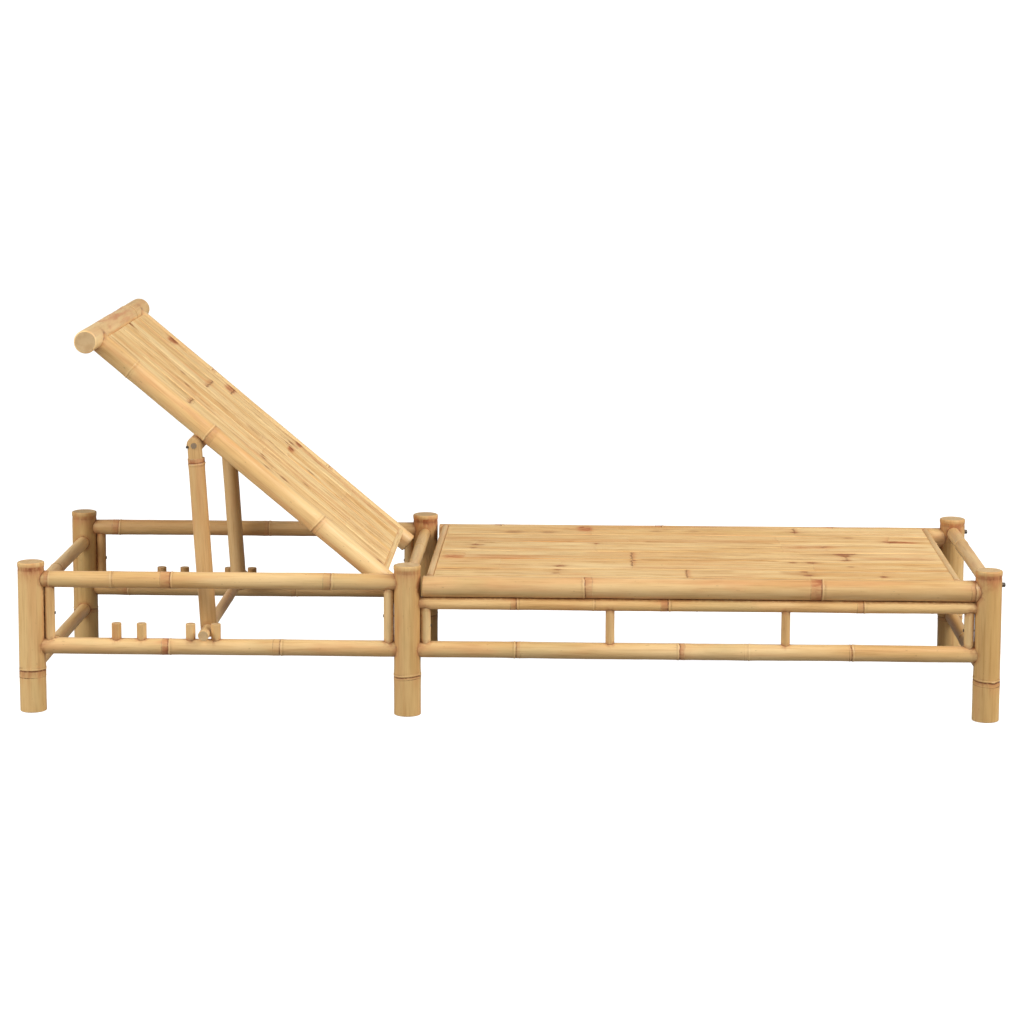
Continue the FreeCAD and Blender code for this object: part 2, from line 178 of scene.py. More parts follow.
def cane(p0, p1, r, nodes=(), seed=0, cut0="hidden", cut1="hidden", wall=5.0, ring=1.0, taper=0.0,
         bend=0.5, tone=0.0, red=0.6, segs=None, step=11.0, rim0=1.0, rim1=1.0,
         depth=34.0, lumps=1.0, flip=False, hosts=(), crown=None, shades=None, patches=()):
    """A bamboo cane from p0 to p1: a skin that swells a little at each node,
    with the sheath scar and the ridge beyond it, a bud and its groove on
    alternate sides, and cut ends that are hidden, closed or hollow.
    A node is a position, or (position, redness, width, line strength, side).
    hosts are the bars it meets, as (a, b, r). shades are the internodes'
    tones, patches warm stains as (from, to, strength, angle)."""
    rng = np.random.default_rng(seed + 7)
    a, b = np.array(p0, float), np.array(p1, float)
    d = b - a
    L = float(np.linalg.norm(d))
    w = d / L
    ref = np.array([0.0, 0.0, 1.0]) if abs(w[2]) < 0.9 else np.array([1.0, 0.0, 0.0])
    u = np.cross(ref, w)
    u /= np.linalg.norm(u)
    v = np.cross(w, u)
    n = segs or int(max(20, min(64, round(TAU * r / 2.9))))
    wn = node_width(r)
    spec = []
    for q in sorted(nodes, key=lambda q: q[0] if isinstance(q, tuple) else q):
        q = q if isinstance(q, tuple) else (q,)
        pos = q[0]
        rd = q[1] if len(q) > 1 and q[1] is not None else float(np.clip(red + rng.uniform(-0.3, 0.3), 0, 1))
        wd = q[2] if len(q) > 2 and q[2] is not None else wn * rng.uniform(0.75, 1.15)
        ls = q[3] if len(q) > 3 else rng.uniform(0.5, 1.0)
        spec.append((pos, rd, wd, ls, q[4] if len(q) > 4 else (-1.0 if flip else 1.0)))
    # stations along the cane
    st = list(np.linspace(0, L, max(3, int(math.ceil(L / step)) + 1)))
    for pos, rd, wd, ls, sgn in spec:
        for x in RING_STEPS:
            st += [pos - wd / 2 + x, pos + wd / 2 + x]
        st += [pos + x for x in (-30, -22, -16, -12, 0, 12, 16, 22, 30)]
    if crown is not None:
        st += [L - x for x in (1, 3, 5, 7, 8.5, 10, 11.5, 13, 15, 18, 22, 27)]
    st += [rim0 * x for x in (0.08, 0.3, 0.62, 1.0, 1.6)] + [L - rim1 * x for x in (0.08, 0.3, 0.62, 1.0, 1.6)]
    st = sorted(x for x in st if 0 <= x <= L)
    kept = [0.0]
    for x in st:
        if x - kept[-1] > 0.30:
            kept.append(x)
    if L - kept[-1] < 0.30:
        kept[-1] = L
    else:
        kept.append(L)
    S = np.array(kept)
    th = np.arange(n) * TAU / n
    s, t = np.meshgrid(S, th, indexing="ij")

    K = len(spec)
    seg_rand = rng.uniform(0, 1, K + 1)
    if shades is not None:
        seg_rand = np.array(shades, float)
    seg_size = rng.uniform(-1, 1, K + 1) * 0.012
    bud0 = rng.uniform(0, TAU)
    hgt, swell, redv, ln, halo = (np.zeros_like(s) for _ in range(5))
    segv, segs_ = np.full_like(s, seg_rand[0]), np.full_like(s, seg_size[0])
    for i, (pos, rd, wd, ls, sgn) in enumerate(spec):
        f = smooth01((s - pos + 10) / 20)
        segs_ = segs_ * (1 - f) + seg_size[i + 1] * f
        f = smooth01((s - pos + 1.0) / 2.0)
        segv = segv * (1 - f) + seg_rand[i + 1] * f
    for i, (pos, rd, wd, ls, sgn) in enumerate(spec):
        ph, ph2, ph3 = rng.uniform(0, TAU, 3)
        bud = bud0 + math.pi * i + rng.uniform(-0.2, 0.2)
        da = (t - bud + math.pi) % TAU - math.pi
        dip = 1.6 * np.exp(-(da * r / 5.0) ** 2)
        wob = 1.0 + max(0.0, r - 18.0) * 0.30
        x = sgn * (s - pos) - wob * (0.45 * np.sin(t + ph) + 0.2 * np.sin(2 * t + ph2)) + dip
        k = ring * min(1.0, 0.5 + r / 36.0)
        lo_, hi_ = x + wd / 2, x - wd / 2
        h = 0.78 * np.exp(-((hi_ - 2.2) / 1.5) ** 2) - 0.38 * np.exp(-((hi_ + 0.6) / 0.95) ** 2)
        h += 0.38 * np.exp(-(lo_ / 1.1) ** 2) - 0.22 * np.exp(-((lo_ + 1.7) / 0.8) ** 2)
        bump_ = 1.1 * np.exp(-(da * r / 3.4) ** 2 - ((hi_ - 2.6) / 3.0) ** 2) * min(1.0, r / 18.0)
        chan = -0.5 * np.exp(-(da * r / 5.5) ** 2) * smooth01((hi_ - 6) / 8) * np.exp(-np.clip(hi_ - 6, 0, None) / 70.0)
        hgt += k * h + bump_
        swell += k * 0.42 * np.exp(-(x / 18.0) ** 2) + chan * min(1.0, r / 18.0)
        vary = 0.62 + 0.38 * np.sin(t + ph3) * np.cos(2 * t + ph)
        ln += ls * (np.exp(-((hi_ + 0.9) / 1.25) ** 2) * (0.60 + 0.40 * vary)
                    + 0.60 * (0.55 + 0.45 * np.sin(2 * t + ph2)) * np.exp(-((lo_ + 0.9) / 0.8) ** 2)
                    + 0.50 * vary * np.exp(-((hi_ - 5.0) / 0.8) ** 2))
        redv += rd * smooth01((lo_ + 0.8) / 1.6) * smooth01((-hi_ + 0.8) / 1.8) * (0.65 + 0.35 * smooth01((lo_ + 1) / max(wd, 2))) * (0.85 + 0.15 * np.sin(t + ph2 + 1.0))
        halo += rd * np.exp(-((x + 4.0) / 17.0) ** 2)
    if crown is not None:            # the cut just beyond a node: a shoulder, a groove and a stain below it
        rd = crown
        e = L - s - 0.4 * np.sin(t + 1.0)
        swell += 0.55 * smooth01((13.0 - e) / 7.0)
        hgt += -0.45 * np.exp(-((e - 13.5) / 2.6) ** 2)
        redv += 1.15 * rd * smooth01((e - 5.0) / 5.0) * np.exp(-np.clip(e - 15.0, 0, None) / 10.0) * (0.8 + 0.2 * np.sin(2 * t + 0.6))
        ln += 0.7 * rd * np.exp(-((e - 14.0) / 1.3) ** 2) * (0.6 + 0.4 * np.sin(t + 2.0))
        halo += rd * np.exp(-((e - 12) / 20.0) ** 2)
    for (q0, q1, st_, ang) in patches:
        halo += st_ * smooth01((s - q0) / 30.0) * smooth01((q1 - s) / 30.0) * (0.5 + 0.5 * np.cos(t - ang))
    low = Wave(rng, 7, 120, 420, 3)
    mid = Wave(rng, 7, 25, 80, 5)
    R = r * (1 + taper * (s / L - 0.5) + segs_ + 0.006 * np.cos(2 * t + rng.uniform(0, TAU)))
    R = R + hgt + swell + lumps * (0.16 * low(s, t) + 0.07 * mid(s, t)) * min(1.0, r / 15.0)
    for rim, x in ((rim0, s), (rim1, L - s)):          # rounded rims of the cut ends
        R = np.where(x < rim, R - (rim - np.sqrt(np.clip(rim * rim - (rim - x) ** 2, 0, None))), R)
    # the axis wanders a little, and turns slightly at each node
    fade = np.sin(math.pi * np.clip(S / L, 0, 1))
    bx = bend * fade * (0.7 * np.sin(math.pi * S / L + rng.uniform(-0.6, 0.6)) * rng.choice([-1, 1]))
    by = bend * fade * 0.5 * np.sin(TAU * S / L + rng.uniform(0, TAU))
    for q in spec:
        kx, ky = rng.uniform(-1, 1, 2) * 0.35 * bend
        hump = np.exp(-((S - q[0]) / 60.0) ** 2) * fade
        bx, by = bx + kx * hump, by + ky * hump
    X = R * np.cos(t) + bx[:, None]
    Y = R * np.sin(t) + by[:, None]
    side = a + X[..., None] * u + Y[..., None] * v + s[..., None] * w
    off = rng.uniform(-3, 3, 3)
    # gap, kept as the attribute ed, is the distance to the canes this one meets; the material paints contact shadow and
    # shade from it
    gap = np.full(s.size, 60.0)
    for (ha, hb, hr) in hosts:
        gap = np.minimum(gap, segment_gap(side.reshape(-1, 3), np.array(ha, float), np.array(hb, float), hr))
    gap = np.clip(gap, 0, 60).reshape(s.shape)

    rings = []

    def add(pos, loc, i, cap, ed, hg=None, l=None):
        rings.append((pos, loc * 0.001 + off, hgt[i] if hg is None else hg, segv[i], redv[i],
                      ln[i] if l is None else l, halo[i], np.full(n, float(cap)), ed))

    def flat_ring(end, rad, dz, cap, wob=0.0):
        """A ring of a cut face: rad of the rim's radius, dz into the cane."""
        k0 = 0 if end == 0 else -1
        rr = R[k0] * rad
        z = (0.0 if end == 0 else L) + (1.0 if end == 0 else -1.0) * (dz + wob * np.cos(2 * th + 1.0))
        lx, ly = rr * np.cos(th), rr * np.sin(th)
        pos = a + (lx + bx[k0])[:, None] * u + (ly + by[k0])[:, None] * v + z[:, None] * w
        add(pos, np.stack([lx, ly, z], -1), k0, cap, np.full(n, 60.0), np.zeros(n), np.zeros(n))

    def end_rings(end, kind):
        if kind == "hollow":
            k0 = 0 if end == 0 else -1
            ri = (R[k0] - wall * (1 + 0.10 * np.cos(th + rng.uniform(0, TAU)) + 0.06 * np.cos(3 * th))) / R[k0]
            return [((1 + ri) * 0.5, 0.0, 1.0, 0), (ri + 0.012, 0.0, 1.0, 0), (ri, 0.3, 0.9, 0), (ri, 1.2, 0.6, 0), (ri, 6.0, 0.5, 0),
                    (ri, depth * 0.5, 0.5, 0), (ri, depth - 3, 0.5, 0), (ri * 0.90, depth, 0.7, 0),
                    (ri * 0.6, depth + 1.2, 0.8, 0.3), (ri * 0.25, depth + 0.6, 0.8, 0.3)]
        if kind == "closed":
            return [(0.965, 0.0, 1.0, 0), (0.90, 0.03, 1.0, 0), (0.82, 0.10, 1.0, 0.05), (0.70, 0.30, 1.0, 0.12),
                    (0.50, 0.55, 1.0, 0.18), (0.28, 0.65, 1.0, 0.12), (0.10, 0.6, 1.0, 0.0)]
        return [(0.6, 0.0, 1.0, 0.0)]

    for rad, dz, cap, wob in reversed(end_rings(0, cut0)):
        flat_ring(0, rad, dz, cap, wob)
    for i in range(len(S)):
        loc = np.stack([R[i] * np.cos(th), R[i] * np.sin(th), np.full(n, S[i])], -1)
        add(side[i], loc, i, 0.0, gap[i])
    for rad, dz, cap, wob in end_rings(1, cut1):
        flat_ring(1, rad, dz, cap, wob)
    cols = list(zip(*rings))
    m = len(rings)

    def cat(k):
        return np.concatenate([np.concatenate(cols[k]), np.stack([np.mean(cols[k][0], 0), np.mean(cols[k][-1], 0)])])

    verts = cat(0)
    N_ = m * n
    attrs = {"cc": cat(1), "hgt": cat(2), "seg": cat(3), "red": cat(4), "ln": cat(5), "halo": cat(6), "cap": cat(7),
             "ed": cat(8) * 0.001, "tone": np.full(len(verts), tone)}
    i = np.arange(m - 1)[:, None] * n
    j = np.arange(n)[None, :]
    j2 = (j + 1) % n
    quads = np.stack([i + j, i + j2, i + n + j2, i + n + j], -1).reshape(-1, 4)
    j, j2 = np.arange(n), (np.arange(n) + 1) % n
    tri0 = np.stack([np.full(n, N_), j2, j], -1)
    tri1 = np.stack([np.full(n, N_ + 1), (m - 1) * n + j, (m - 1) * n + j2], -1)
    return verts, quads, np.vstack([tri0, tri1]), attrs


def plank(sa_, sb_, ya, yb, top, thick, place, seed, lines, tone, crack=1.0, strip=8.5, row=3.0,
          scoop=None, marks=()):
    """A board of flattened cane: strips side by side with splits between
    them, and node lines across. s runs along the strips, y across them.
    lines are node lines (s, strength, redness, skew). marks are ("k", s, y,
    size, strength) knots, ("s", s0, s1, y, half width, strength) brown
    streaks, ("r", s, y, half length, half width, strength) warm patches and
    ("l", s, y0, y1, strength) dark lines across."""
    rng = np.random.default_rng(seed)
    ys = [ya]
    while ys[-1] < yb - strip * 1.4:
        ys.append(ys[-1] + strip * rng.uniform(0.5, 1.65))
    if yb - ys[-1] < strip * 0.5:
        ys[-1] = yb
    else:
        ys.append(yb)
    ys = np.array(ys)
    ns = len(ys) - 1
    cols, which, frac = [], [], []
    for i in range(ns):
        wd = ys[i + 1] - ys[i]
        e = min(0.8, wd * 0.12)
        for f in (0.0, e / wd, 2.6 * e / wd, 0.38, 0.62, 1 - 2.6 * e / wd, 1 - e / wd):
            cols.append(ys[i] + f * wd)
            which.append(i)
            frac.append(f)
    cols.append(yb)
    which.append(ns - 1)
    frac.append(1.0)
    cols, which, frac = np.array(cols), np.array(which), np.array(frac)
    order = sorted(lines)
    S = list(np.linspace(sa_, sb_, int((sb_ - sa_) / row) + 1))
    for q in order:
        S += list(np.arange(q[0] - 7.5, q[0] + 8.0, 1.0))
    for q in marks:
        if q[0] == "l":
            S += list(np.arange(q[1] - 3.0, q[1] + 3.1, 0.75))
        elif q[0] == "k":
            S += list(np.arange(q[1] - q[3], q[1] + q[3] + 1, 1.5))
    S = sorted(x for x in S if sa_ <= x <= sb_)
    kept = [sa_]
    for x in S:
        if x - kept[-1] > 0.6:
            kept.append(x)
    kept[-1] = sb_
    S = np.array(kept)
    s, y = np.meshgrid(S, cols, indexing="ij")
    wi = np.broadcast_to(which, s.shape)
    fr = np.broadcast_to(frac, s.shape)
    wander = Wave(rng, 6, 160, 600, 0)
    wav2 = Wave(rng, 5, 40, 120, 0)
    inner = np.clip(np.minimum(y - ya, yb - y) / 12.0, 0, 1)
    yy = y + inner * (1.3 * wander(s, 0 * s) + 0.35 * wav2(s, 0 * s))
    red, ln, stk, dark, ridge = (np.zeros(s.shape) for _ in range(5))
    seg = np.zeros(s.shape)
    for (sn, st, rd, skew) in order:
        jag = rng.normal(0, 1.0, ns + 1)
        slow = Wave(rng, 3, 60, 160, 0)
        x = s - (sn + skew * (y - (ya + yb) / 2) + 2.5 * slow(y, 0 * y) + jag[wi])
        seg += (x > 0)
        here = rng.uniform(0.15, 1.0, ns)[wi]
        ridge += st * here * (0.60 * np.exp(-((x - 1.8) / 1.7) ** 2) - 0.50 * np.exp(-((x + 0.8) / 0.9) ** 2))
        ln += st * here * np.exp(-((x + 0.6) / 0.95) ** 2)
        side = -1.0 if rng.uniform() < 0.5 else 1.0
        red += rd * here * smooth01((side * x + 1) / 2) * np.exp(-np.clip(side * x, 0, None) / 14.0)
    seg = seg.astype(int)
    K = len(order) + 1
    tonev = rng.uniform(0, 1, (K, ns))[seg, wi] * 0.65 + rng.uniform(0, 1, K)[seg] * 0.35
    z = 0.26 * rng.uniform(-1, 1, (K, ns))[seg, wi]
    z = z + 0.22 * rng.uniform(-1, 1, (K, ns))[seg, wi] * (fr - 0.5) * 2 + 0.16 * (1 - (2 * fr - 1) ** 2)
    z = z + 0.35 * Wave(rng, 6, 150, 500, 0)(s, 0) + 0.10 * Wave(rng, 6, 20, 60, 0)(s + 3 * y, 0)
    crk = np.zeros(s.shape)
    bounds = [sa_] + [q[0] for q in order] + [sb_]
    for i in range(1, ns):
        near = np.where(wi == i, fr, np.where(wi == i - 1, 1 - fr, 9.0)) < 0.001
        for k in range(len(bounds) - 1):
            b0, b1 = bounds[k], bounds[k + 1]
            if b1 - b0 < 12 or rng.uniform() < 0.15:
                continue
            length = (b1 - b0) * (rng.uniform(0.15, 0.5) if rng.uniform() < 0.5 else rng.uniform(0.5, 1.0))
            c0, c1 = (b0 + 2.0, b0 + length) if rng.uniform() < 0.5 else (b1 - length, b1 - 2.0)
            deep = rng.uniform(0.2, 1.0) ** 1.6
            prof = smooth01((s - c0) / 5.0) * smooth01((c1 - s) / (0.35 * max(20, c1 - c0)))
            prof = prof * (0.65 + 0.35 * np.sin(s / rng.uniform(7, 19) + rng.uniform(0, 6)))
            crk = np.where(near, np.maximum(crk, prof * deep), crk)
    crk *= crack
    # the splits are brown along their sides
    side_ = crk.copy()
    side_[:, 1:] = np.maximum(side_[:, 1:], crk[:, :-1])
    side_[:, :-1] = np.maximum(side_[:, :-1], crk[:, 1:])
    side_[:, 2:] = np.maximum(side_[:, 2:], crk[:, :-2] * 0.8)
    side_[:, :-2] = np.maximum(side_[:, :-2], crk[:, 2:] * 0.8)
    stk = np.maximum(stk, 1.1 * side_)
    z = z + ridge - 1.7 * crk
    for dist in (yy - ya, yb - yy):                    # rounded edges of the board
        z = z - 1.3 * np.exp(-np.clip(dist, 0, None) / 0.9)
    for q in marks:
        if q[0] == "k":
            _, ms, my, size, st = q
            w_ = 0.25 * np.sin(s * 0.9 + yy * 1.3) + 0.2 * np.sin(yy * 2.1 - s * 0.4)
            d2 = ((s - ms) / (size * 2.0)) ** 2 + ((yy - my) / (size * 1.8)) ** 2 + w_
            dark = np.maximum(dark, st * np.exp(-np.clip(d2, 0, None) ** 1.6 * 0.9))
            stk = np.maximum(stk, st * 0.9 * np.exp(-((s - ms) / (size * 6.0)) ** 2 - ((yy - my) / (size * 1.7)) ** 2))
            z = z - 0.5 * st * np.exp(-d2 * 2.0)
        elif q[0] == "s":
            _, s0, s1, my, hw, st = q
            hw = hw * 1.5
            drift = my + 0.5 * hw * np.sin(s / 31.0 + my)
            m_ = smooth01((s - s0) / 18.0) * smooth01((s1 - s) / 18.0) * np.exp(-((yy - drift) / hw) ** 2)
            stk = np.maximum(stk, st * m_ * (0.7 + 0.3 * np.sin(s / 13.0 + yy)))
            z = z - 0.25 * st * m_
        elif q[0] == "r":
            _, ms, my, hl, hw, st = q
            red = np.maximum(red, st * np.exp(-((s - ms) / hl) ** 4 - ((yy - my) / hw) ** 4))
        elif q[0] == "l":
            _, ms, y0, y1, st = q
            m_ = smooth01((yy - y0) / 4.0) * smooth01((y1 - yy) / 4.0)
            x = s - ms - 0.8 * np.sin(yy / 5.0 + ms) - rng.normal(0, 0.5, ns)[wi]
            ln = np.maximum(ln, st * m_ * np.exp(-(x / 2.3) ** 2))
            red = np.maximum(red, 0.5 * st * m_ * np.exp(-((x - 3.0) / 6.0) ** 2))
            ridge = ridge + st * m_ * (0.5 * np.exp(-((x - 2.4) / 1.6) ** 2) - 0.6 * np.exp(-(x / 1.1) ** 2))
            z = z + st * m_ * (0.5 * np.exp(-((x - 2.4) / 1.6) ** 2) - 0.6 * np.exp(-(x / 1.1) ** 2))
    ztop = top + z
    if scoop is not None:
        ztop = np.maximum(ztop, scoop(yy) + 0.4)
    zbot = top - thick + 0.10 * Wave(rng, 6, 60, 300, 0)(s, 0) + 0.5 * crk + np.zeros_like(s)
    if scoop is not None:
        zbot = np.maximum(zbot, np.minimum(scoop(yy), ztop - 0.3))
    nr, nc = s.shape
    offs = rng.uniform(-4, 4, 3)

    def pack(zz, capv):
        one = np.full(s.size, 1.0)
        f = 1.0 if capv == 0 else 0.0
        return place(s, yy, zz).reshape(-1, 3), {
            "cc": (np.stack([s, yy, zz - top], -1) * 0.001 + offs).reshape(-1, 3),
            "hgt": ridge.ravel() * f, "ln": ln.ravel() * (0.4 + 0.6 * f), "seg": tonev.ravel(), "red": red.ravel(), "cap": one * capv,
            "tone": one * tone, "crk": crk.ravel(), "dark": dark.ravel() * f, "stk": stk.ravel()}

    Pt, At = pack(ztop, 0.0)
    Pb, Ab = pack(zbot, 0.35)
    n_ = nr * nc
    idx = np.arange(n_).reshape(nr, nc)
    top_q = np.stack([idx[:-1, :-1], idx[1:, :-1], idx[1:, 1:], idx[:-1, 1:]], -1).reshape(-1, 4)
    bot_q = top_q[:, ::-1] + n_
    walls = []
    for line in (idx[0, :], idx[-1, ::-1], idx[::-1, 0], idx[:, -1]):
        walls.append(np.stack([line[:-1], line[1:], line[1:] + n_, line[:-1] + n_], -1))
    walls = np.vstack(walls)
    P = np.vstack([Pt, Pb])
    A = {k: np.concatenate([At[k], Ab[k]]) for k in At}
    # own points for the walls, so that the board's edges stay crisp
    wall_ids, inv = np.unique(walls.ravel(), return_inverse=True)
    Aw = {k: x[wall_ids].copy() for k, x in A.items()}
    Aw["cap"] = np.full(len(wall_ids), 0.6)
    q = np.vstack([top_q, bot_q, inv.reshape(-1, 4) + len(P)])
    return np.vstack([P, P[wall_ids]]), q, np.zeros((0, 3), int), {k: np.concatenate([A[k], Aw[k]]) for k in A}


def outward(piece):
    """Turns the faces of a closed piece outwards."""
    v, q, t, a = piece
    f = np.vstack([q[:, [0, 1, 2]], q[:, [0, 2, 3]], t]) if len(t) else np.vstack([q[:, [0, 1, 2]], q[:, [0, 2, 3]]])
    c = v.mean(0)
    vol = np.einsum("ij,ij->i", v[f[:, 0]] - c, np.cross(v[f[:, 1]] - c, v[f[:, 2]] - c)).sum()
    return (v, q[:, ::-1], t[:, ::-1] if len(t) else t, a) if vol < 0 else piece


# --------------------------------------------------------------- materials
def nodes_of(mat):
    mat.use_nodes = True
    nt = mat.node_tree
    nt.nodes.clear()
    return nt


class Net:
    """Short words for building a node tree."""

    def __init__(self, nt):
        self.nt = nt

    def new(self, kind, **props):
        n = self.nt.nodes.new(kind)
        for k, v in props.items():
            setattr(n, k, v)
        return n

    def link(self, a, b):
        self.nt.links.new(a, b)

    def put(self, sock, val):
        if isinstance(val, bpy.types.NodeSocket):
            self.link(val, sock)
        else:
            sock.default_value = val

    def attr(self, name, vector=False):
        n = self.new("ShaderNodeAttribute", attribute_name=name)
        return n.outputs["Vector" if vector else "Fac"]

    def math(self, op, a, b=0.0, clamp=False):
        n = self.new("ShaderNodeMath", operation=op, use_clamp=clamp)
        self.put(n.inputs[0], a)
        self.put(n.inputs[1], b)
        return n.outputs[0]

    def ramp(self, x, a, b, smooth=True, lo=0.0, hi=1.0):
        n = self.new("ShaderNodeMapRange", interpolation_type="SMOOTHSTEP" if smooth else "LINEAR")
        self.put(n.inputs["Value"], x)
        n.inputs["From Min"].default_value = a
        n.inputs["From Max"].default_value = b
        n.inputs["To Min"].default_value = lo
        n.inputs["To Max"].default_value = hi
        return n.outputs[0]

    def noise(self, vec, scale, detail=2.0, rough=0.5, dist=0.0):
        n = self.new("ShaderNodeTexNoise", noise_dimensions="3D")
        self.put(n.inputs["Vector"], vec)
        n.inputs["Scale"].default_value = scale
        n.inputs["Detail"].default_value = detail
        n.inputs["Roughness"].default_value = rough
        n.inputs["Distortion"].default_value = dist
        return n.outputs[0]

    def voronoi(self, vec, scale, feature="F1"):
        n = self.new("ShaderNodeTexVoronoi", feature=feature)
        self.put(n.inputs["Vector"], vec)
        n.inputs["Scale"].default_value = scale
        return n.outputs["Distance"]

    def scaled(self, vec, s):
        n = self.new("ShaderNodeVectorMath", operation="MULTIPLY")
        self.put(n.inputs[0], vec)
        n.inputs[1].default_value = s
        return n.outputs[0]

    def mix(self, fac, a, b, mode="MIX"):
        n = self.new("ShaderNodeMix", data_type="RGBA", blend_type=mode)
        self.put(n.inputs[0], fac)
        self.put(n.inputs[6], a if isinstance(a, bpy.types.NodeSocket) else (*a, 1.0))
        self.put(n.inputs[7], b if isinstance(b, bpy.types.NodeSocket) else (*b, 1.0))
        return n.outputs[2]


def lin(r, g, b):
    """Linear colour from the usual 0 to 255 numbers."""
    return tuple((x / 255 / 12.92 if x <= 10.3 else ((x / 255 + 0.055) / 1.055) ** 2.4) for x in (r, g, b))


def bamboo(name, light, dark, warm, cool, node, scar, rough=0.40, streak=1.0, board=False):
    """Bamboo skin: long fibres, soft blotches, internodes of slightly
    different colour, brown bands and scars at the nodes, pithy cut ends."""
    mat = bpy.data.materials.new(name)
    N = Net(nodes_of(mat))
    cc = N.attr("cc", True)
    grain = lambda k: N.scaled(cc, (k, 1.0, 1.0) if board else (1.0, 1.0, k))
    v1, v2, v3, v4 = grain(0.025), grain(0.06), grain(0.14), grain(0.35)
    hgt, seg, red, ln = N.attr("hgt"), N.attr("seg"), N.attr("red"), N.attr("ln")
    cap, tone = N.attr("cap"), N.attr("tone")
    fine = N.noise(v1, 1300.0, 3.0, 0.65)
    mid = N.noise(v1, 420.0, 2.0, 0.6)
    wide = N.noise(v2, 120.0, 2.0, 0.55)
    broad = N.noise(v2, 42.0, 2.0, 0.5)
    blotch = N.noise(v3, 18.0, 3.0, 0.55)
    patch = N.noise(v4, 12.0, 3.0, 0.55)
    col = N.mix(N.ramp(blotch, 0.34, 0.66), light, dark)
    col = N.mix(N.ramp(broad, 0.50, 0.72, True, 0.0, 0.55 if board else 0.40), col, warm)
    col = N.mix(N.ramp(patch, 0.54, 0.74, True, 0.0, 0.50), col, cool)
    col = N.mix(N.ramp(N.noise(v4, 21.0, 2.0, 0.5), 0.56, 0.74, True, 0.0, 0.40), col, warm)
    # each internode or strip a little lighter or darker
    col = N.mix(N.ramp(seg, 0.45, 1.0, True, 0.0, 0.85 if board else 0.40), col, N.mix(1.0, col, (0.92, 0.84, 0.72), "MULTIPLY"))
    col = N.mix(N.ramp(seg, 0.5, 0.0, True, 0.0, 0.40 if board else 0.20), col, light)
    # fibres
    k = streak
    col = N.mix(N.ramp(wide, 0.50, 0.76, True, 0.0, 0.60 * k), col, scar_mix(N, col, 0.72))
    col = N.mix(N.ramp(wide, 0.46, 0.26, True, 0.0, 0.30 * k), col, light)
    col = N.mix(N.ramp(mid, 0.52, 0.76, True, 0.0, 0.55 * k), col, scar_mix(N, col, 0.68))
    col = N.mix(N.ramp(fine, 0.50, 0.76, True, 0.0, 0.42 * k), col, scar_mix(N, col, 0.70))
    # tone of the whole piece: above 0 browner and darker; on the far side's canes it also carries painted shade
    col = N.mix(N.ramp(tone, 0.0, 1.0, False), col, N.mix(1.0, col, (0.60, 0.51, 0.42), "MULTIPLY"))
    # tinted zones by the nodes, streaky along the grain
    rag = N.ramp(N.noise(grain(0.30), 150.0, 3.0, 0.6), 0.30, 0.62, True, 0.35 if board else 0.45, 1.2)
    zone = N.math("MULTIPLY", red, rag, True)
    col = N.mix(N.math("MULTIPLY", zone, 0.95, True), col, node)
    col = N.mix(N.ramp(zone, 0.70, 1.0, True, 0.0, 0.30), col, scar)
    if not board:
        soft = N.math("MULTIPLY", N.attr("halo"), N.ramp(N.noise(v3, 75.0, 2.0), 0.42, 0.68, True, 0.0, 0.60))
        col = N.mix(soft, col, warm)
        col = N.mix(N.math("MULTIPLY", soft, 0.30), col, node)
    # raised ridges are mixed toward the light colour; below, the node lines are darkened
    col = N.mix(N.ramp(hgt, 0.25, 0.80, True, 0.0, 0.45), col, light)
    spots = N.ramp(N.noise(cc, 210.0, 2.0, 0.5), 0.34, 0.60, True, 0.45, 1.0)
    line = N.math("MULTIPLY", N.math("MULTIPLY", ln, spots), 0.85 if board else 1.15, True)
    col = N.mix(line, col, scar)
    fleck = N.ramp(N.noise(grain(0.3), 330.0, 1.0, 0.4), 0.75, 0.80, True, 0.0, 0.40)
    col = N.mix(fleck, col, scar)
    if board:
        col = N.mix(N.math("MULTIPLY", N.attr("stk"), N.ramp(N.noise(v2, 240.0, 2.0), 0.25, 0.65, True, 0.45, 1.05), True), col,
                    scar_mix(N, col, 0.60))
        col = N.mix(N.ramp(N.attr("crk"), 0.05, 0.75, True, 0.0, 0.85), col, scar)
        knot = N.math("MULTIPLY", N.attr("dark"), N.ramp(N.noise(grain(0.3), 260.0, 2.0), 0.28, 0.60, True, 0.70, 1.25), True)
        col = N.mix(knot, col, N.mix(0.35, scar, node))
    else:
        # joints: a dark line of painted contact shadow where canes touch, and a warm stain with painted shade within a
        # few millimetres of the canes they meet
        ed = N.attr("ed")
        joint_stain_and_shade = N.math("MULTIPLY", N.ramp(ed, 0.0085, 0.0005), N.ramp(N.noise(cc, 120.0, 2.0), 0.34, 0.62, True, 0.10, 0.55))
        col = N.mix(joint_stain_and_shade, col, node)
        col = N.mix(N.ramp(ed, 0.0022, 0.0002, True, 0.0, 0.65), col, scar)
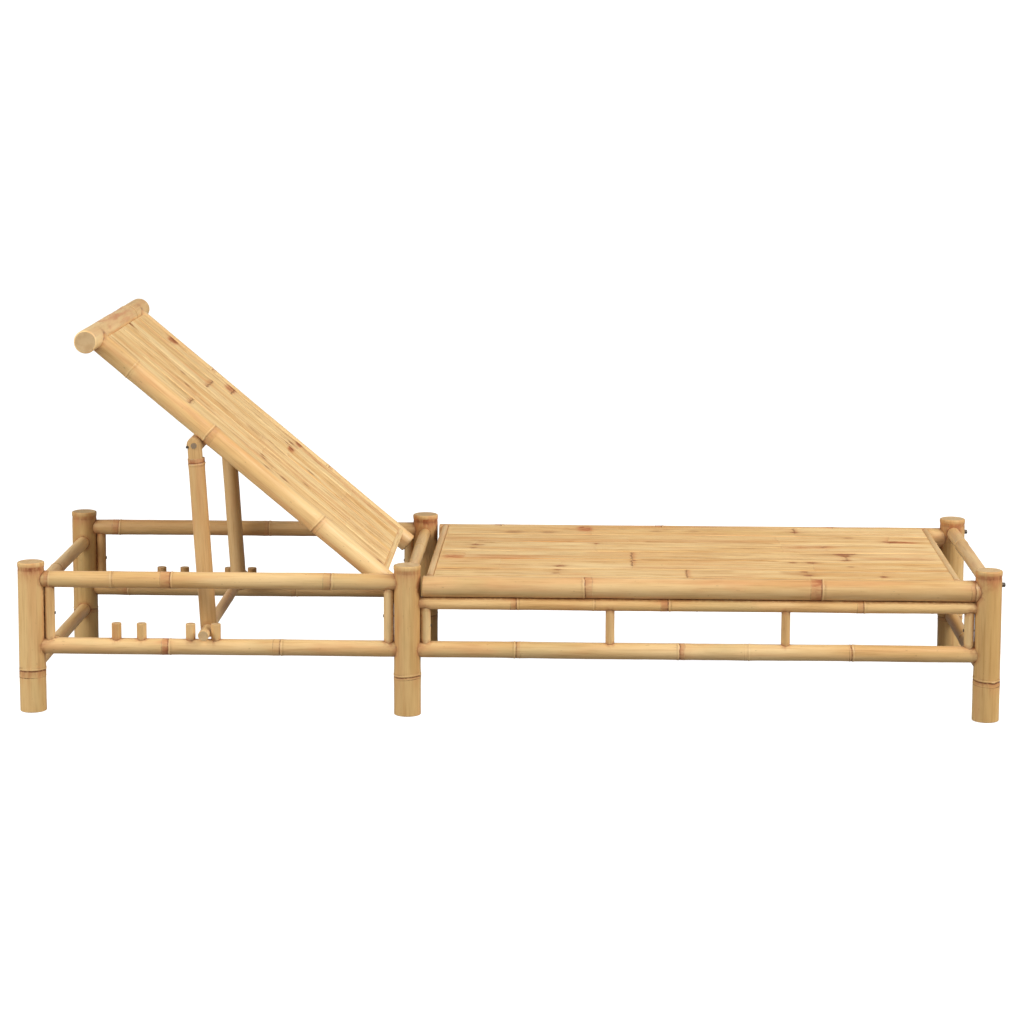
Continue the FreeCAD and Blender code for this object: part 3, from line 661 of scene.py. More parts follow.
    # cut ends: pale pith with the dark dots of the fibre bundles
    if board:
        raw = N.mix(N.ramp(N.noise(v1, 700.0), 0.4, 0.7), scar_mix(N, light, 0.92), scar_mix(N, dark, 0.80))
    else:
        dots = N.ramp(N.voronoi(N.scaled(cc, (1, 1, 0.0)), 900.0), 0.32, 0.12, True, 0.0, 0.38)
        raw = N.mix(N.ramp(N.noise(cc, 60.0, 3.0), 0.40, 0.68, True, 0.0, 0.55), lin(206, 174, 128), lin(186, 146, 98))
        raw = N.mix(dots, raw, lin(140, 104, 66))
    col = N.mix(N.ramp(cap, 0.05, 0.55), col, raw)
    bsdf = N.new("ShaderNodeBsdfPrincipled")
    out = N.new("ShaderNodeOutputMaterial")
    N.link(col, bsdf.inputs["Base Color"])
    rg = N.math("ADD", N.math("MULTIPLY", N.math("SUBTRACT", fine, 0.5), 0.30), rough)
    rg = N.math("ADD", rg, N.math("MULTIPLY", zone, 0.12))
    rg = N.math("ADD", rg, N.ramp(cap, 0.05, 0.5, True, 0.0, 0.30), True)
    N.link(rg, bsdf.inputs["Roughness"])
    bsdf.inputs["Specular IOR Level"].default_value = 0.38
    bump = N.new("ShaderNodeBump")
    bump.inputs["Strength"].default_value = 0.40
    bump.inputs["Distance"].default_value = 0.0005
    N.link(N.math("ADD", N.math("MULTIPLY", fine, 0.55), N.math("MULTIPLY", mid, 0.8)), bump.inputs["Height"])
    N.link(bump.outputs[0], bsdf.inputs["Normal"])
    N.link(bsdf.outputs[0], out.inputs[0])
    return mat


def scar_mix(N, col, k):
    """A darker shade of a colour."""
    return N.mix(1.0, col, (k, k ** 1.6, k ** 2.3), "MULTIPLY")


SCAR = lin(122, 72, 40)
cane_mat = bamboo("bamboo_cane", lin(238, 203, 147), lin(219, 176, 115), lin(224, 164, 112), lin(202, 178, 122),
                  lin(172, 94, 56), SCAR, streak=0.8)
pale_mat = bamboo("bamboo_pale", lin(250, 215, 155), lin(234, 190, 126), lin(236, 172, 112), lin(216, 190, 130),
                  lin(176, 100, 60), SCAR, streak=0.8)
post_mat = bamboo("bamboo_post", lin(230, 193, 132), lin(210, 168, 105), lin(216, 154, 98), lin(196, 171, 112),
                  lin(166, 92, 54), SCAR, rough=0.45, streak=0.8)
board_mat = bamboo("bamboo_board", lin(255, 222, 161), lin(243, 198, 129), lin(238, 174, 110), lin(230, 196, 128),
                   lin(196, 112, 62), lin(128, 78, 38), rough=0.50, streak=1.3, board=True)


def steel(name, base, rough):
    mat = bpy.data.materials.new(name)
    N = Net(nodes_of(mat))
    geo = N.new("ShaderNodeTexCoord").outputs["Object"]
    a = N.noise(geo, 900.0, 3.0)
    col = N.mix(N.ramp(a, 0.35, 0.7), base, tuple(x * 0.6 for x in base))
    b = N.new("ShaderNodeBsdfPrincipled")
    out = N.new("ShaderNodeOutputMaterial")
    N.link(col, b.inputs["Base Color"])
    b.inputs["Metallic"].default_value = 1.0
    N.link(N.math("ADD", N.math("MULTIPLY", a, 0.25), rough), b.inputs["Roughness"])
    N.link(b.outputs[0], out.inputs[0])
    return mat


bolt_mat = steel("warm_steel", (0.52, 0.38, 0.25), 0.45)
dark_steel = steel("dark_steel", (0.22, 0.19, 0.16), 0.35)

# ------------------------------------------------------------------ camera
cam = bpy.data.objects.new("camera", bpy.data.cameras.new("camera"))
bpy.context.scene.collection.objects.link(cam)
bpy.context.scene.camera = cam
CX, CY, CZ, YAW, PITCH, ROLL, FOCAL = 0.18357, -5.84871, 1.39604, -0.03152, -0.13714, 0.00297, 2786.36
cam.location = (CX + SHIFT * 0.001, CY, CZ)
fwd = Vector((math.sin(YAW) * math.cos(PITCH), math.cos(YAW) * math.cos(PITCH), math.sin(PITCH)))
rgt = Vector((math.cos(YAW), -math.sin(YAW), 0.0))
upv = rgt.cross(fwd)
r2 = rgt * math.cos(ROLL) + upv * math.sin(ROLL)
u2 = upv * math.cos(ROLL) - rgt * math.sin(ROLL)
from mathutils import Matrix
rot = Matrix((r2, u2, -fwd)).transposed()
cam.rotation_mode = "QUATERNION"
cam.rotation_quaternion = rot.to_quaternion()
cam.data.sensor_width = 36.0
cam.data.lens = FOCAL / 1024.0 * 36.0
cam.data.shift_y = -0.1
cam.data.clip_start, cam.data.clip_end = 0.1, 100.0

# --------------------------------------------------------------- the canes
CANE, POST = [cane_mat], [post_mat]
CANES = []          # every cane, so that each knows the ones it meets


def put_cane(node, p0, p1, r, body="frame", slot="cane", mats=None, extra=None, **kw):
    CANES.append(dict(node=node, p0=p0, p1=p1, r=r, body=body, slot=slot, mats=mats or CANE, extra=extra,
                      seed=101 + len(CANES), kw=kw))


def meets(c, o):
    """Whether two canes come close to one another."""
    a, b = np.array(c["p0"], float), np.array(c["p1"], float)
    k = np.linspace(0, 1, 60)[:, None]
    return segment_gap(a + k * (b - a), np.array(o["p0"], float), np.array(o["p1"], float), o["r"]).min() < c["r"] + 14.0


def build_canes():
    groups = {}
    for c in CANES:
        hosts = [(o["p0"], o["p1"], o["r"]) for o in CANES if o is not c and o["body"] == c["body"]
                 and o["node"] != c["node"] and meets(c, o)]
        piece = outward(cane(c["p0"], c["p1"], c["r"], seed=c["seed"], hosts=hosts, **c["kw"]))
        g = groups.setdefault(c["node"], (c, []))
        g[1].append(piece)
        if c["extra"] is not None:
            g[1].append(c["extra"])
    for node, (c, pieces) in groups.items():
        build(node + "_bamboo", merge(pieces) if len(pieces) > 1 else pieces[0], c["mats"], c["body"], (node,))


TENON = 12.0
IN = POST_R - TENON
SIDES = {"near": -1.0, "far": 1.0}

# posts: node, crown and the tone of the whole post
posts = {
    "head_near": ((79.0, 0.60, 14.0, 1.9, 1.0), 0.75, 0.06), "head_far": ((84.0, 0.4, 8.0, 0.6, 1.0), 0.50, 0.20),
    "mid_near": ((80.0, 0.30, 5.0, 1.2, 1.0), 0.45, 0.12), "mid_far": ((76.0, 0.3, 8.0, 0.6, 1.0), 1.0, 0.16),
    "foot_near": ((79.0, 0.50, 9.0, 1.9, 1.0), 0.80, 0.14), "foot_far": ((86.0, 0.4, 8.0, 0.6, 1.0), 0.60, 0.14)}
for e, px in (("head", PX_HEAD), ("mid", PX_MID), ("foot", PX_FOOT)):
    for k, sy in SIDES.items():
        ring_, crown, tone = posts[e + "_" + k]
        put_cane("post_%s_%s" % (e, k), (px, sy * POST_Y, 0.0), (px, sy * POST_Y, POST_H), POST_R - 0.3, slot="post", mats=POST,
                 nodes=[ring_], crown=crown, cut0="hollow", cut1="closed", wall=6.0, rim0=1.2, rim1=3.2,
                 ring=0.85, bend=0.35, tone=tone, step=9.0, shades=[0.1, 0.55])

# side rails
rail_nodes = {
    "rail_head_up_near": [(-940.0, 0.5, 8.0, 0.3, 1), (-804.0, 0.1, 3.0, 0.5, -1), (-695.0, 0.55, 20.0, 0.9, 1), (-365.0, 0.45, 15.0, 0.8, 1)],
    "rail_head_up_far": [(-900.0, 0.5, 14.0, 0.6, 1), (-560.0, 0.3, 10.0, 0.5, 1)],
    "rail_head_low_near": [(-697.0, 1.0, 13.0, 1.0, 1), (-469.0, 0.15, 14.0, 0.9, 1)],
    "rail_head_low_far": [(-880.0, 0.4, 10.0, 0.4, 1), (-500.0, 0.4, 10.0, 0.4, 1)],
    "rail_seat_up_near": [(14.0, 0.75, 12.0, 1.0, 1), (183.0, 0.12, 12.0, 0.35, -1), (320.0, 0.75, 15.0, 1.0, 1), (715.0, 0.6, 13.0, 0.9, 1)],
    "rail_seat_up_far": [60.0, 410.0, 770.0],
    "rail_seat_low_near": [(22.0, 0.35, 9.0, 0.8, -1), (355.0, 0.65, 10.0, 0.8, -1), (486.0, 0.05, 6.0, 0.2, 1), (697.0, 0.4, 5.0, 1.0, 1)],
    "rail_seat_low_far": [100.0, 455.0, 800.0]}
# the far rails get a darker, browner tone: painted shade, as they lie in the backrest's and frame's shadow
far_rail_shade_tone = {"rail_head_up_far": 0.38, "rail_head_low_far": 0.28, "rail_seat_up_far": 0.35, "rail_seat_low_far": 0.35}


def shift_nodes(nodes, origin):
    return [((q[0] - origin,) + q[1:]) if isinstance(q, tuple) else q - origin for q in nodes]


for k, sy in SIDES.items():
    for part, xa, xb, z, r in (("head_up", PX_HEAD, PX_MID, RAIL_UP_Z, RAIL_R), ("head_low", PX_HEAD, PX_MID, RAIL_LOW_Z, RAIL_R),
                               ("seat_up", PX_MID, PX_FOOT, SEAT_RAIL_Z, SEAT_RAIL_R), ("seat_low", PX_MID, PX_FOOT, RAIL_LOW_Z, RAIL_R)):
        name = "rail_%s_%s" % (part, k)
        a = xa + IN
        # rail_seat_up_near takes the paler material: painted light, making up for the seat pole's shadow on its top
        put_cane(name, (a, sy * POST_Y, z), (xb - IN, sy * POST_Y, z), r, nodes=shift_nodes(rail_nodes[name], a),
                 mats=[pale_mat] if name == "rail_seat_up_near" else CANE, tone=far_rail_shade_tone.get(name, 0.0), ring=0.95, bend=0.5 if part != "seat_up" else 0.2)

# cross rails
CYL = POST_Y - IN
for name, x, z, r, half, nn, tone in (
        ("cross_head_up", PX_HEAD, 241.8, 14.0, CYL, (-40.0, 0.5, 6.0, 0.8, 1), 0.05),
        ("cross_head_low", PX_HEAD, 89.5, 14.0, CYL, (-60.0, 0.6, 6.0, 1.0, 1), 0.05),
        ("cross_mid", PX_MID, 269.6, 12.2, CYL, (85.0, 0.1, 5.0, 0.3, 1), 0.0),
        ("cross_foot_up", PX_FOOT, 280.0, 14.0, CYL + 24.0, (120.0, 0.2, 6.0, 0.4, 1), 0.0),
        ("cross_foot_low", PX_FOOT, 92.5, 14.0, CYL, (30.0, 0.3, 6.0, 0.5, 1), 0.15)):
    put_cane(name, (x, -half, z), (x, half, z), r, nodes=shift_nodes([nn], -half), tone=tone, bend=0.4,
             mats=[pale_mat] if "head" in name else CANE)

# struts, spindles, pegs
# the far side's struts, spindles and pegs have a darker tone than the near ones: painted shade of the far side
for k, sy in SIDES.items():
    y = sy * POST_Y
    for name, px, sx, ztop, zr in (("strut_head", PX_HEAD, 1.0, RAIL_UP_Z, RAIL_R), ("strut_mid_head", PX_MID, -1.0, RAIL_UP_Z, RAIL_R),
                                   ("strut_mid_seat", PX_MID, 1.0, SEAT_RAIL_Z, SEAT_RAIL_R), ("strut_foot", PX_FOOT, -1.0, SEAT_RAIL_Z, SEAT_RAIL_R)):
        x = px + sx * (POST_R + 10.0)
        put_cane("%s_%s" % (name, k), (x, y, RAIL_LOW_Z + 9.0), (x, y, ztop - zr * 0.55), 10.35, tone=0.06 if sy < 0 else 0.35,
                 bend=0.2, step=7.0)
    for i, x in enumerate((209.0, 565.0)):
        put_cane("spindle_%s_%d" % (k, i + 1), (x, y, RAIL_LOW_Z + 9.0), (x, y, SEAT_RAIL_Z - 7.0), 9.0, tone=0.15 if sy < 0 else 0.35,
                 bend=0.2, step=7.0)
    for i, x in enumerate((-798.7, -747.0, -646.7, -594.8)):
        put_cane("pegs_" + k, (x, y, 140.0), (x, y, 184.0), 10.0, cut1="closed", rim1=1.1, bend=0.0,
                 tone=0.12 if sy < 0 else 0.70, step=4.0, lumps=0.7)

# seat poles and what lies between them
pole_nodes = {"near": [(164.0, 0.45, 15.0, 1.0, -1), (625.0, 1.0, 22.0, 1.0, 1), (941.0, 0.5, 8.0, 0.9, 1)],
              "far": [-40.0, 318.0, 700.0]}
for k, sy in SIDES.items():
    put_cane("seat_pole_" + k, (-172.0, sy * POST_Y, POLE_Z), (PX_FOOT - 16.0, sy * POST_Y, POLE_Z), POLE_R,
             nodes=shift_nodes(pole_nodes[k], -172.0), cut0="closed", rim0=2.0, bend=0.3, ring=0.95, tone=0.12)
put_cane("seat_batten", (-158.0, -285.0, SEAT_TOP - 7.0), (-158.0, 285.0, SEAT_TOP - 7.0), 8.0,
         nodes=[(210.0, 0.1, 4.0, 0.3, 1), (430.0, 0.1, 4.0, 0.3, 1)], ring=0.5, bend=0.2, tone=0.14)
put_cane("seat_end_rod", (911.0, -285.0, SEAT_TOP - 6.5), (911.0, 285.0, SEAT_TOP - 6.5), 7.5,
         nodes=[(160.0, 0.1, 4.0, 0.3, 1), (400.0, 0.1, 4.0, 0.3, 1)], ring=0.5, bend=0.2)
bz = SEAT_TOP - BOARD_T - 12.0
for i, x in enumerate((-118.0, 215.0, 545.0, 870.0)):
    h = POST_Y - math.sqrt(POLE_R ** 2 - (bz - POLE_Z) ** 2) + 8.0
    put_cane("seat_bar_%d" % (i + 1), (x, -h, bz), (x, h, bz), 12.0, nodes=[120.0 + 30 * i, 380.0 + 20 * i], tone=0.2,
             bend=0.3, red=0.5)

# backrest canes
back_nodes = {"near": [(164.0, 0.35, 8.0, 0.45, 1), (450.0, 0.50, 13.0, 0.4, 1), (658.0, 0.05, 4.0, 0.1, 1)],
              "far": [(210.0, 0.5, 10.0, 0.7, 1), (545.0, 0.5, 10.0, 0.7, 1)]}
for k, sy in SIDES.items():
    y = sy * BACK_Y
    put_cane("back_pole_" + k, back(-32.0, y, 0), back(HEAD_S - 8.0, y, 0), BACK_R, body="backrest",
             nodes=shift_nodes(back_nodes[k], -32.0), mats=[pale_mat], cut0="hollow", wall=7.5, rim0=3.0, bend=0.4)
put_cane("head_pole", back(HEAD_S, -HEAD_HALF, 0), back(HEAD_S, HEAD_HALF, 0), HEAD_R - 0.5, body="backrest", slot="post",
         mats=[pale_mat], nodes=[(160.0 + HEAD_HALF, 0.15, 7.0, 1.0, 1)], cut0="closed", cut1="closed", rim0=2.6, rim1=2.6,
         bend=0.3, ring=0.9, patches=((150.0, 470.0, 2.0, 1.4),))
put_cane("back_pivot_rod", back(0, -290.0, 0), back(0, 290.0, 0), 7.0, body="backrest", lumps=0.0, bend=0.0, tone=0.25)
for i, s in enumerate((120.0, 345.0, 650.0)):
    h = BACK_Y - BACK_R + 8.0
    put_cane("back_bar_%d" % (i + 1), back(s, -h, 0), back(s, h, 0), 10.0, body="backrest", nodes=[140.0 + 40 * i, 330.0],
             tone=0.2, bend=0.2, red=0.5)
put_cane("prop_carrier", back(PROP_S, -246.5, PROP_P), back(PROP_S, 246.5, PROP_P), 16.5, body="backrest",
         nodes=[(-30.0 + 246.5, 0.4, 6.0, 0.8, 1)], cut0="closed", cut1="closed", tone=0.25, bend=0.2)


# prop
def tongue(y, sy, tone, top):
    """The flattened end of a prop leg that the bolt goes through."""
    rt = 15.0
    zz = np.concatenate([np.linspace(top - 2.0, 0.0, 12), rt * np.sin(np.linspace(0, math.pi / 2 - 0.02, 15)[1:])])
    half = np.where(zz <= 0, rt, np.sqrt(np.clip(rt * rt - np.clip(zz, 0, None) ** 2, 0, None)))
    gx = half[:, None] * np.sin(np.linspace(-1, 1, 25) * math.pi / 2)[None, :]
    gz = np.broadcast_to(zz[:, None], gx.shape)
    off = np.random.default_rng(77 + int(sy)).uniform(-3, 3, 3)
    edge = np.minimum(1.0, (1 - np.abs(np.linspace(-1, 1, 25))) * 6)[None, :] * np.minimum(1.0, (len(zz) - 1 - np.arange(len(zz))) / 2.0)[:, None]

    def face(yv, cap):
        yv = yv - 0.9 * (1 - edge) if cap == 0.0 else yv + 0.4 * (1 - edge)
        x_, _, z_ = prop(gx, 0.0, gz)
        n_ = gx.size
        zero = np.zeros(n_)
        return np.stack([x_, y + sy * yv, z_], -1).reshape(-1, 3), {
            "cc": (np.stack([gx, yv, gz], -1) * 0.001 + off).reshape(-1, 3), "hgt": zero, "seg": zero + 0.1, "red": zero,
            "ln": zero, "halo": zero, "cap": zero + cap, "ed": zero + 0.06, "tone": zero + tone}

    (Po, Ao), (Pi, Ai) = face(np.sqrt(17.0 ** 2 - gx ** 2), 0.0), face(np.full(gx.shape, 8.0), 0.6)
    idx = np.arange(gx.size).reshape(gx.shape)
    q1 = np.stack([idx[:-1, :-1], idx[:-1, 1:], idx[1:, 1:], idx[1:, :-1]], -1).reshape(-1, 4)
    walls = [np.stack([l[:-1], l[1:], l[1:] + idx.size, l[:-1] + idx.size], -1)
             for l in (idx[0, ::-1], idx[-1, :], idx[:, 0], idx[::-1, -1])]
    return outward((np.vstack([Po, Pi]), np.vstack([q1, q1[:, ::-1] + idx.size, np.vstack(walls)]), np.zeros((0, 3), int),
                    {q: np.concatenate([Ao[q], Ai[q]]) for q in Ao}))


for k, sy in SIDES.items():
    # the far leg's darker tone is painted shade: it stands in the backrest's shadow
    y, tone, top, bottom = sy * 239.0, 0.24 if sy < 0 else 0.38, -27.0, -LEG_LEN - 17.0
    put_cane("prop_leg_" + k, prop(0, y, bottom), prop(0, y, top), 17.0, body="prop",
             nodes=[(top - 6.5 - bottom, 0.9, 9.0, 1.0, -1)], cut0="hollow", cut1="closed", wall=5.0, ring=0.8, bend=0.3,
             tone=tone, rim1=1.4, extra=tongue(y, sy, tone - 0.06, top))
put_cane("prop_foot_bar", prop(0, -322.0, -LEG_LEN), prop(0, 322.0, -LEG_LEN), FOOT_R, body="prop",
         nodes=[(55.0 + 322.0, 0.3, 5.0, 0.5, 1)], cut0="closed", cut1="closed", rim0=1.3, rim1=1.3, ring=0.5, bend=0.2, tone=0.08)
build_canes()

# --------------------------------------------------------------- the boards


def flat_place(s, y, z):
    return np.stack([s, y, z], -1)


def back_place(s, y, z):
    return np.stack([PIVOT_X - s * ca + z * sa, y, PIVOT_Z + s * sa + z * ca], -1)


def scoop_seat(sy):
    def f(y):
        q = (POLE_R + 0.5) ** 2 - (y - sy * POST_Y) ** 2
        return POLE_Z + np.sqrt(np.clip(q, 0, None)) - np.where(q < 0, 100, 0)
    return f


def scoop_back(sy):
    def f(y):
        q = (BACK_R + 0.5) ** 2 - (y - sy * BACK_Y) ** 2
        return np.sqrt(np.clip(q, 0, None)) - np.where(q < 0, 100, 0)
    return f


seat_edges = [-288.0, -202.0, -98.0, -7.0, 101.0, 188.0, 288.0]
seat_lines = [
    [(105.0, 0.3, 0.2, 0.05), (365.0, 0.3, 0.2, 0.02), (615.0, 0.4, 0.4, -0.04), (764.0, 0.3, 0.3, 0.03)],
    [(-20.0, 0.2, 0.1, 0.0), (105.0, 0.3, 0.2, 0.04), (254.6, 0.3, 0.2, 0.02), (632.0, 0.35, 0.3, 0.03)],
    [(-98.0, 0.2, 0.3, 0.0), (254.6, 0.3, 0.2, 0.02), (703.5, 0.4, 0.4, -0.02)],
    [(-80.0, 0.3, 0.3, 0.05), (180.0, 0.3, 0.2, 0.0), (579.0, 0.25, 0.2, 0.04), (670.0, 0.2, 0.3, 0.0)],
    [(250.0, 0.2, 0.1, 0.0), (575.0, 0.25, 0.2, -0.03), (817.0, 0.4, 0.6, 0.03)],
    [(-148.0, 0.2, 0.2, 0.0), (170.0, 0.4, 0.5, 0.03), (617.0, 0.4, 0.3, 0.0)]]
seat_marks = [
    [("k", 100, -216, 4, .8), ("k", 97, -250, 4, .6), ("s", -80, 120, -253, 5, .8), ("l", 365, -287, -202, 1), ("s", 365, 470, -226, 9, .6),
     ("s", 380, 470, -240, 5, .5), ("k", 606, -215, 4, .8), ("k", 612, -250, 5, .9), ("s", 548, 640, -222, 9, .7), ("k", 765, -261, 4, 1),
     ("s", 765, 830, -264, 3, .6), ("r", 460, -280, 60, 8, .3), ("s", 150, 300, -275, 3, .5), ("s", 640, 760, -280, 3, .4)],
    [("k", 105, -176, 5.5, .9), ("s", -110, 90, -199, 4, .5), ("l", 254.6, -170, -98, 1), ("k", 258, -108, 3, .8), ("k", 590, -116, 4, .8),
     ("k", 629, -117, 5, .9), ("k", 707, -160, 3.5, .7), ("s", 300, 420, -190, 5, .4), ("s", 430, 560, -150, 4, .35), ("s", 720, 880, -130, 6, .45),
     ("r", 300, -185, 90, 12, .25), ("s", 262, 568, -102, 4, .9)],
    [("l", 254.6, -98, -15, 1), ("k", 703, -20, 9, 1), ("k", 706, -40, 5, .9), ("k", 690, -8, 4, .7), ("k", 722, -12, 5, .8), ("l", 706, -92, -44, .7),
     ("k", 704, -88, 5, .7), ("r", -120, -82, 22, 20, .8), ("r", -10, -84, 70, 18, .35), ("s", 262, 568, -95, 4, .9),
     ("s", 720, 900, -76, 5, .55), ("s", 560, 690, -72, 3, .4), ("s", 330, 520, -30, 6, .35), ("r", 820, -70, 80, 14, .35), ("s", 740, 830, -6, 5, .4)],
    [("k", -80, 54, 5, .8), ("k", -68, 54, 3, .6), ("k", -84, 20, 4, .6), ("s", -80, 20, 12, 5, .5), ("k", 180, 76, 3, .9), ("k", 668, 63, 3.5, .9),
     ("s", 600, 900, 66, 5, .5), ("s", 760, 896, 65, 4, .9), ("r", 640, 60, 60, 22, .45), ("s", 60, 240, 92, 4, .4), ("s", 276, 568, 97, 4, .8),
     ("s", -40, 90, 36, 6, .35), ("s", 300, 560, 40, 4, .3)],
    [("k", 817, 118, 3.5, 1), ("k", 826, 126, 4, .8), ("r", 838, 122, 36, 12, .9), ("k", 806, 128, 3, .6), ("s", 276, 570, 106, 5, 1),
     ("s", -100, 140, 106, 5, .7), ("s", -120, 20, 180, 5, .4), ("s", 850, 900, 118, 5, .5), ("s", 560, 700, 160, 4, .35), ("k", 730, 168, 5, .5)],
    [("r", 154, 262, 16, 40, 1), ("l", 617, 222, 288, .9), ("k", 617, 236, 4, .8), ("k", -2, 212, 9, .45), ("k", 72, 212, 8, .45),
     ("k", 310, 235, 6, .35), ("k", 395, 235, 6, .3), ("s", 160, 180, 262, 30, .3), ("s", 620, 880, 205, 5, .4), ("s", -110, 60, 196, 5, .5),
     ("r", 400, 282, 180, 8, .3)]]
seat_tones = [0.32, 0.25, 0.29, 0.21, 0.21, 0.15]
for i in range(6):
    y0, y1 = seat_edges[i], seat_edges[i + 1]
    sc = scoop_seat(-1.0) if i == 0 else (scoop_seat(1.0) if i == 5 else None)
    piece = plank(-150.0, 903.5, y0 + (0.0 if i == 0 else 0.6), y1 - (0.0 if i == 5 else 0.6), SEAT_TOP - 0.5, BOARD_T - 0.5,
                  flat_place, 900 + i, seat_lines[i], seat_tones[i], scoop=sc, marks=seat_marks[i], crack=0.7)
    build("seat_board_%d" % (i + 1), outward(piece), [board_mat], "frame", ("seat_slats",))

back_edges = [-224.0, -149.0, -55.0, 30.0, 145.0, 224.0]
back_lines = [
    [(150.0, 0.3, 0.2, 0.0), (310.0, 0.4, 0.2, 0.05), (525.0, 0.4, 0.2, 0.0)],
    [(120.0, 0.3, 0.2, 0.0), (349.0, 0.4, 0.3, 0.03), (528.7, 0.3, 0.2, 0.0)],
    [(80.0, 0.3, 0.2, 0.0), (370.0, 0.3, 0.3, 0.05), (600.0, 0.3, 0.2, 0.0)],
    [(150.0, 0.3, 0.3, 0.0), (306.0, 0.4, 0.4, 0.05), (528.7, 0.3, 0.2, 0.02)],
    [(140.0, 0.3, 0.2, 0.0), (296.5, 0.4, 0.4, 0.02), (481.6, 0.4, 0.4, 0.0), (655.0, 0.4, 0.4, 0.0)]]
back_marks = [
    [("s", 655, 741, -205, 5, 1), ("l", 528.7, -222, -150, 1), ("s", 532, 610, -168, 7, .9), ("k", 322, -213, 4, .7), ("k", 340, -160, 4, .8),
     ("s", 290, 349, -172, 4, .9), ("k", 280, -192, 5, .8), ("s", 368, 434, -168, 6, .7), ("s", 10, 218, -160, 9, .5), ("s", 20, 90, -165, 4, .7),
     ("k", 20, -213, 4, .8), ("s", 100, 200, -212, 5, .5), ("s", 400, 500, -200, 3, .4)],
    [("s", 655, 741, -143, 5, .9), ("k", 560, -80, 4, .6), ("s", 535, 600, -82, 5, .7), ("s", 480, 530, -110, 6, .6), ("k", 235, -90, 4, .6),
     ("s", 15, 110, -98, 5, .8), ("s", 60, 160, -78, 4, .5), ("s", 300, 345, -62, 6, .7), ("k", 345, -140, 3, .7), ("s", 600, 700, -60, 4, .5),
     ("s", 230, 330, -120, 4, .5), ("s", 400, 520, -135, 3, .5)],
    [("s", 545, 660, -6, 5, .7), ("k", 586, -6, 4, .6), ("s", 450, 505, -10, 7, .8), ("s", 365, 420, 0, 8, 1), ("s", 300, 345, 20, 6, .9),
     ("k", 349, 27, 4, .9), ("s", 145, 195, -4, 6, .6), ("s", 15, 115, -14, 5, .8), ("s", 20, 90, 8, 4, .5), ("s", 655, 741, -30, 4, .6),
     ("s", 200, 300, -40, 4, .5), ("s", 700, 741, 14, 4, .8)],
    [("l", 528.7, 32, 140, 1), ("k", 738, 34, 4, 1), ("s", 680, 738, 37, 4, .8), ("k", 240, 48, 5, .5), ("s", 225, 283, 140, 4, .5),
     ("r", 304, 108, 8, 26, 1), ("k", 317, 140, 4, .9), ("k", 306, 118, 3, .8), ("s", 560, 700, 90, 3, .5), ("s", 540, 640, 60, 4, .5),
     ("s", 340, 480, 80, 3, .4), ("s", 100, 220, 95, 4, .5), ("s", 600, 741, 120, 3, .6), ("s", 20, 120, 60, 4, .4)],
    [("r", 655, 205, 12, 30, 1), ("k", 652, 210, 5, .8), ("r", 490, 200, 14, 34, .9), ("l", 481.6, 150, 222, .9), ("k", 484, 215, 4, .8),
     ("r", 296, 215, 8, 26, 1), ("k", 296, 216, 5, 1), ("k", 312, 170, 4, .8), ("s", 560, 640, 180, 4, .6), ("s", 670, 741, 180, 4, .6),
     ("s", 100, 260, 190, 4, .5), ("r", 250, 200, 40, 18, .35)]]
# the backrest boards have a lighter tone than the seat boards: painted light, for the backrest tilted up towards the
# light
for i in range(5):
    y0, y1 = back_edges[i], back_edges[i + 1]
    sc = scoop_back(-1.0) if i == 0 else (scoop_back(1.0) if i == 4 else None)
    piece = plank(8.5, 741.5, y0 + (0.0 if i == 0 else 0.6), y1 - (0.0 if i == 4 else 0.6), 17.5, BOARD_T - 0.5,
                  back_place, 950 + i, back_lines[i], [0.02, 0.0, 0.04, 0.0, 0.02][i], scoop=sc, marks=back_marks[i], strip=7.0)
    build("back_board_%d" % (i + 1), outward(piece), [board_mat], "backrest", ("back_slats",))

# the batten across the foot of the backrest, its grain running across
def batten_place(s_, y_, z_):
    return np.stack([PIVOT_X - y_ * ca + z_ * sa, s_, PIVOT_Z + y_ * sa + z_ * ca], -1)


build("back_batten_bamboo", outward(plank(-224.0, 224.0, -5.0, 8.2, 17.6, 6.2, batten_place, 991, [(-60.0, 0.4, 0.3, 0.0), (150.0, 0.3, 0.3, 0.0)],
                                          0.10, strip=6.0, crack=0.4)), [board_mat], "backrest", ("back_batten",))

# ------------------------------------------------------- remaining CAD nodes
for node, mat in (("frame_screws", dark_steel), ("foot_bolts", dark_steel), ("carrier_bolts", bolt_mat), ("prop_leg_screws", dark_steel),
                  ("head_dowels", cane_mat)):
    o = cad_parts[node]
    o.data.materials.clear()
    o.data.materials.append(mat)

# ------------------------------------------------------------ floor, lights
floor_me = bpy.data.meshes.new("floor")
R_ = 14.0
floor_me.from_pydata([(-R_, -R_, -0.0005), (R_, -R_, -0.0005), (R_, R_, -0.0005), (-R_, R_, -0.0005)], [], [(0, 1, 2, 3)])
floor = bpy.data.objects.new("floor", floor_me)
bpy.context.scene.collection.objects.link(floor)
fm = bpy.data.materials.new("floor_white")
N = Net(nodes_of(fm))
dif = N.new("ShaderNodeBsdfDiffuse")
dif.inputs[0].default_value = (0.30, 0.29, 0.28, 1)
emi = N.new("ShaderNodeEmission")
emi.inputs[0].default_value = (1.0, 1.0, 1.0, 1)
emi.inputs[1].default_value = 1.0
add, mixer, out = N.new("ShaderNodeAddShader"), N.new("ShaderNodeMixShader"), N.new("ShaderNodeOutputMaterial")
N.link(dif.outputs[0], add.inputs[0])
N.link(emi.outputs[0], add.inputs[1])
N.link(N.new("ShaderNodeLightPath").outputs["Is Camera Ray"], mixer.inputs[0])
N.link(dif.outputs[0], mixer.inputs[1])
N.link(add.outputs[0], mixer.inputs[2])
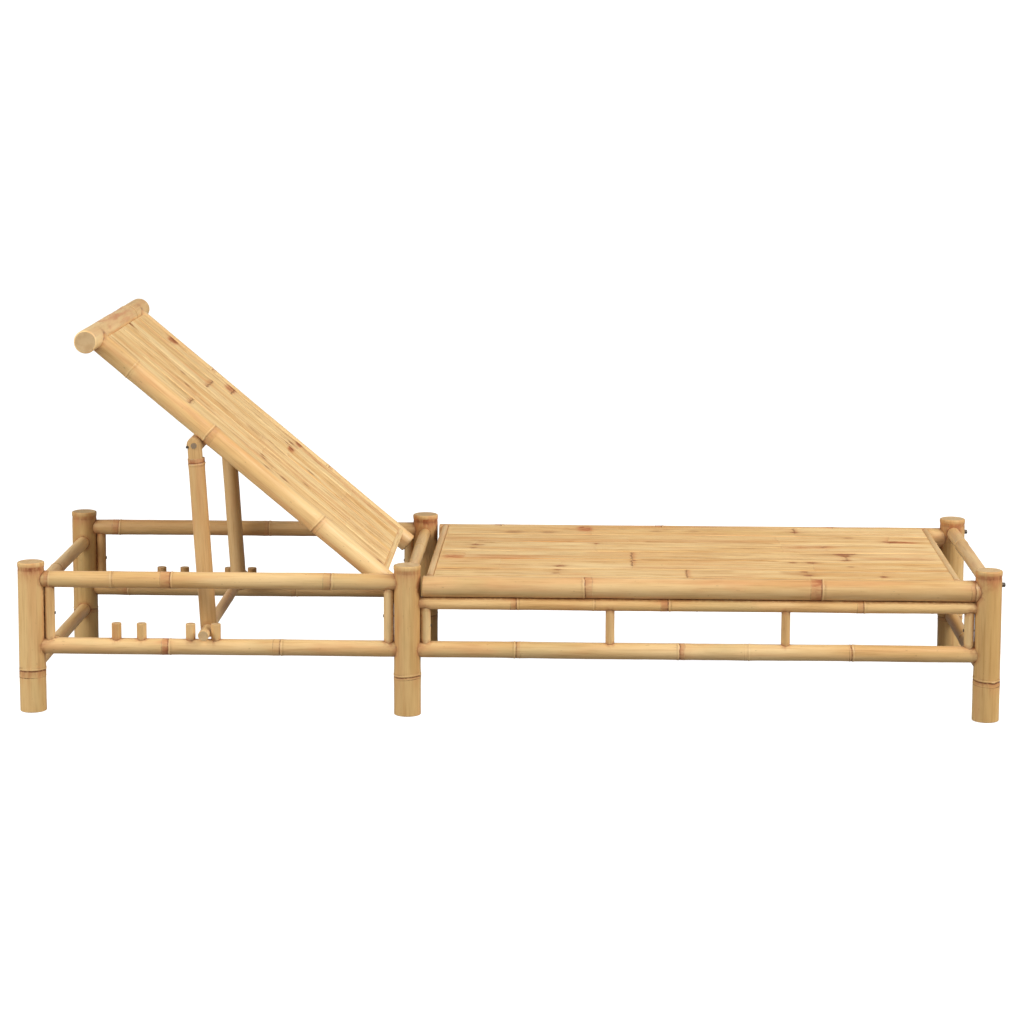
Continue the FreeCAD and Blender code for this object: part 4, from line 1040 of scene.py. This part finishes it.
# seen from below the floor is clear, so that the underside can be looked at
clear, mix2 = N.new("ShaderNodeBsdfTransparent"), N.new("ShaderNodeMixShader")
below = N.math("MULTIPLY", N.new("ShaderNodeNewGeometry").outputs["Backfacing"], N.new("ShaderNodeLightPath").outputs["Is Camera Ray"])
N.link(below, mix2.inputs[0])
N.link(mixer.outputs[0], mix2.inputs[1])
N.link(clear.outputs[0], mix2.inputs[2])
N.link(mix2.outputs[0], out.inputs[0])
floor_me.materials.append(fm)

world = bpy.data.worlds.new("studio")
bpy.context.scene.world = world
W = Net(nodes_of(world))
sep = W.new("ShaderNodeSeparateXYZ")
W.link(W.new("ShaderNodeTexCoord").outputs["Generated"], sep.inputs[0])
bg1, bg2 = W.new("ShaderNodeBackground"), W.new("ShaderNodeBackground")
bg1.inputs[0].default_value = (1.0, 1.0, 1.0, 1)
W.link(W.ramp(sep.outputs["Z"], 0.0, 0.9, True, 0.34, 0.37), bg1.inputs[1])
bg2.inputs[0].default_value = (1.0, 1.0, 1.0, 1)
bg2.inputs[1].default_value = 1.2
mx, wo = W.new("ShaderNodeMixShader"), W.new("ShaderNodeOutputWorld")
W.link(W.new("ShaderNodeLightPath").outputs["Is Camera Ray"], mx.inputs[0])
W.link(bg1.outputs[0], mx.inputs[1])
W.link(bg2.outputs[0], mx.inputs[2])
W.link(mx.outputs[0], wo.inputs[0])


def area(name, loc, target, size, power):
    ld = bpy.data.lights.new(name, "AREA")
    ld.shape = "RECTANGLE"
    ld.size, ld.size_y = size
    ld.energy = power
    o = bpy.data.objects.new(name, ld)
    bpy.context.scene.collection.objects.link(o)
    o.location = loc
    o.rotation_mode = "QUATERNION"
    o.rotation_quaternion = (Vector(target) - Vector(loc)).to_track_quat("-Z", "Y")
    return o


area("key", (4.4, -2.2, 3.8), (0.0, 0.0, 0.3), (3.0, 3.0), 285.0)
area("fill", (-3.6, -2.0, 2.4), (0.0, 0.0, 0.3), (2.5, 2.5), 115.0)
area("front", (0.4, -4.6, 1.8), (0.0, 0.0, 0.3), (3.0, 2.0), 18.0)

vs = bpy.context.scene.view_settings
vs.view_transform = "Standard"
vs.look = "None"
vs.exposure = 0.0
vs.gamma = 1.0
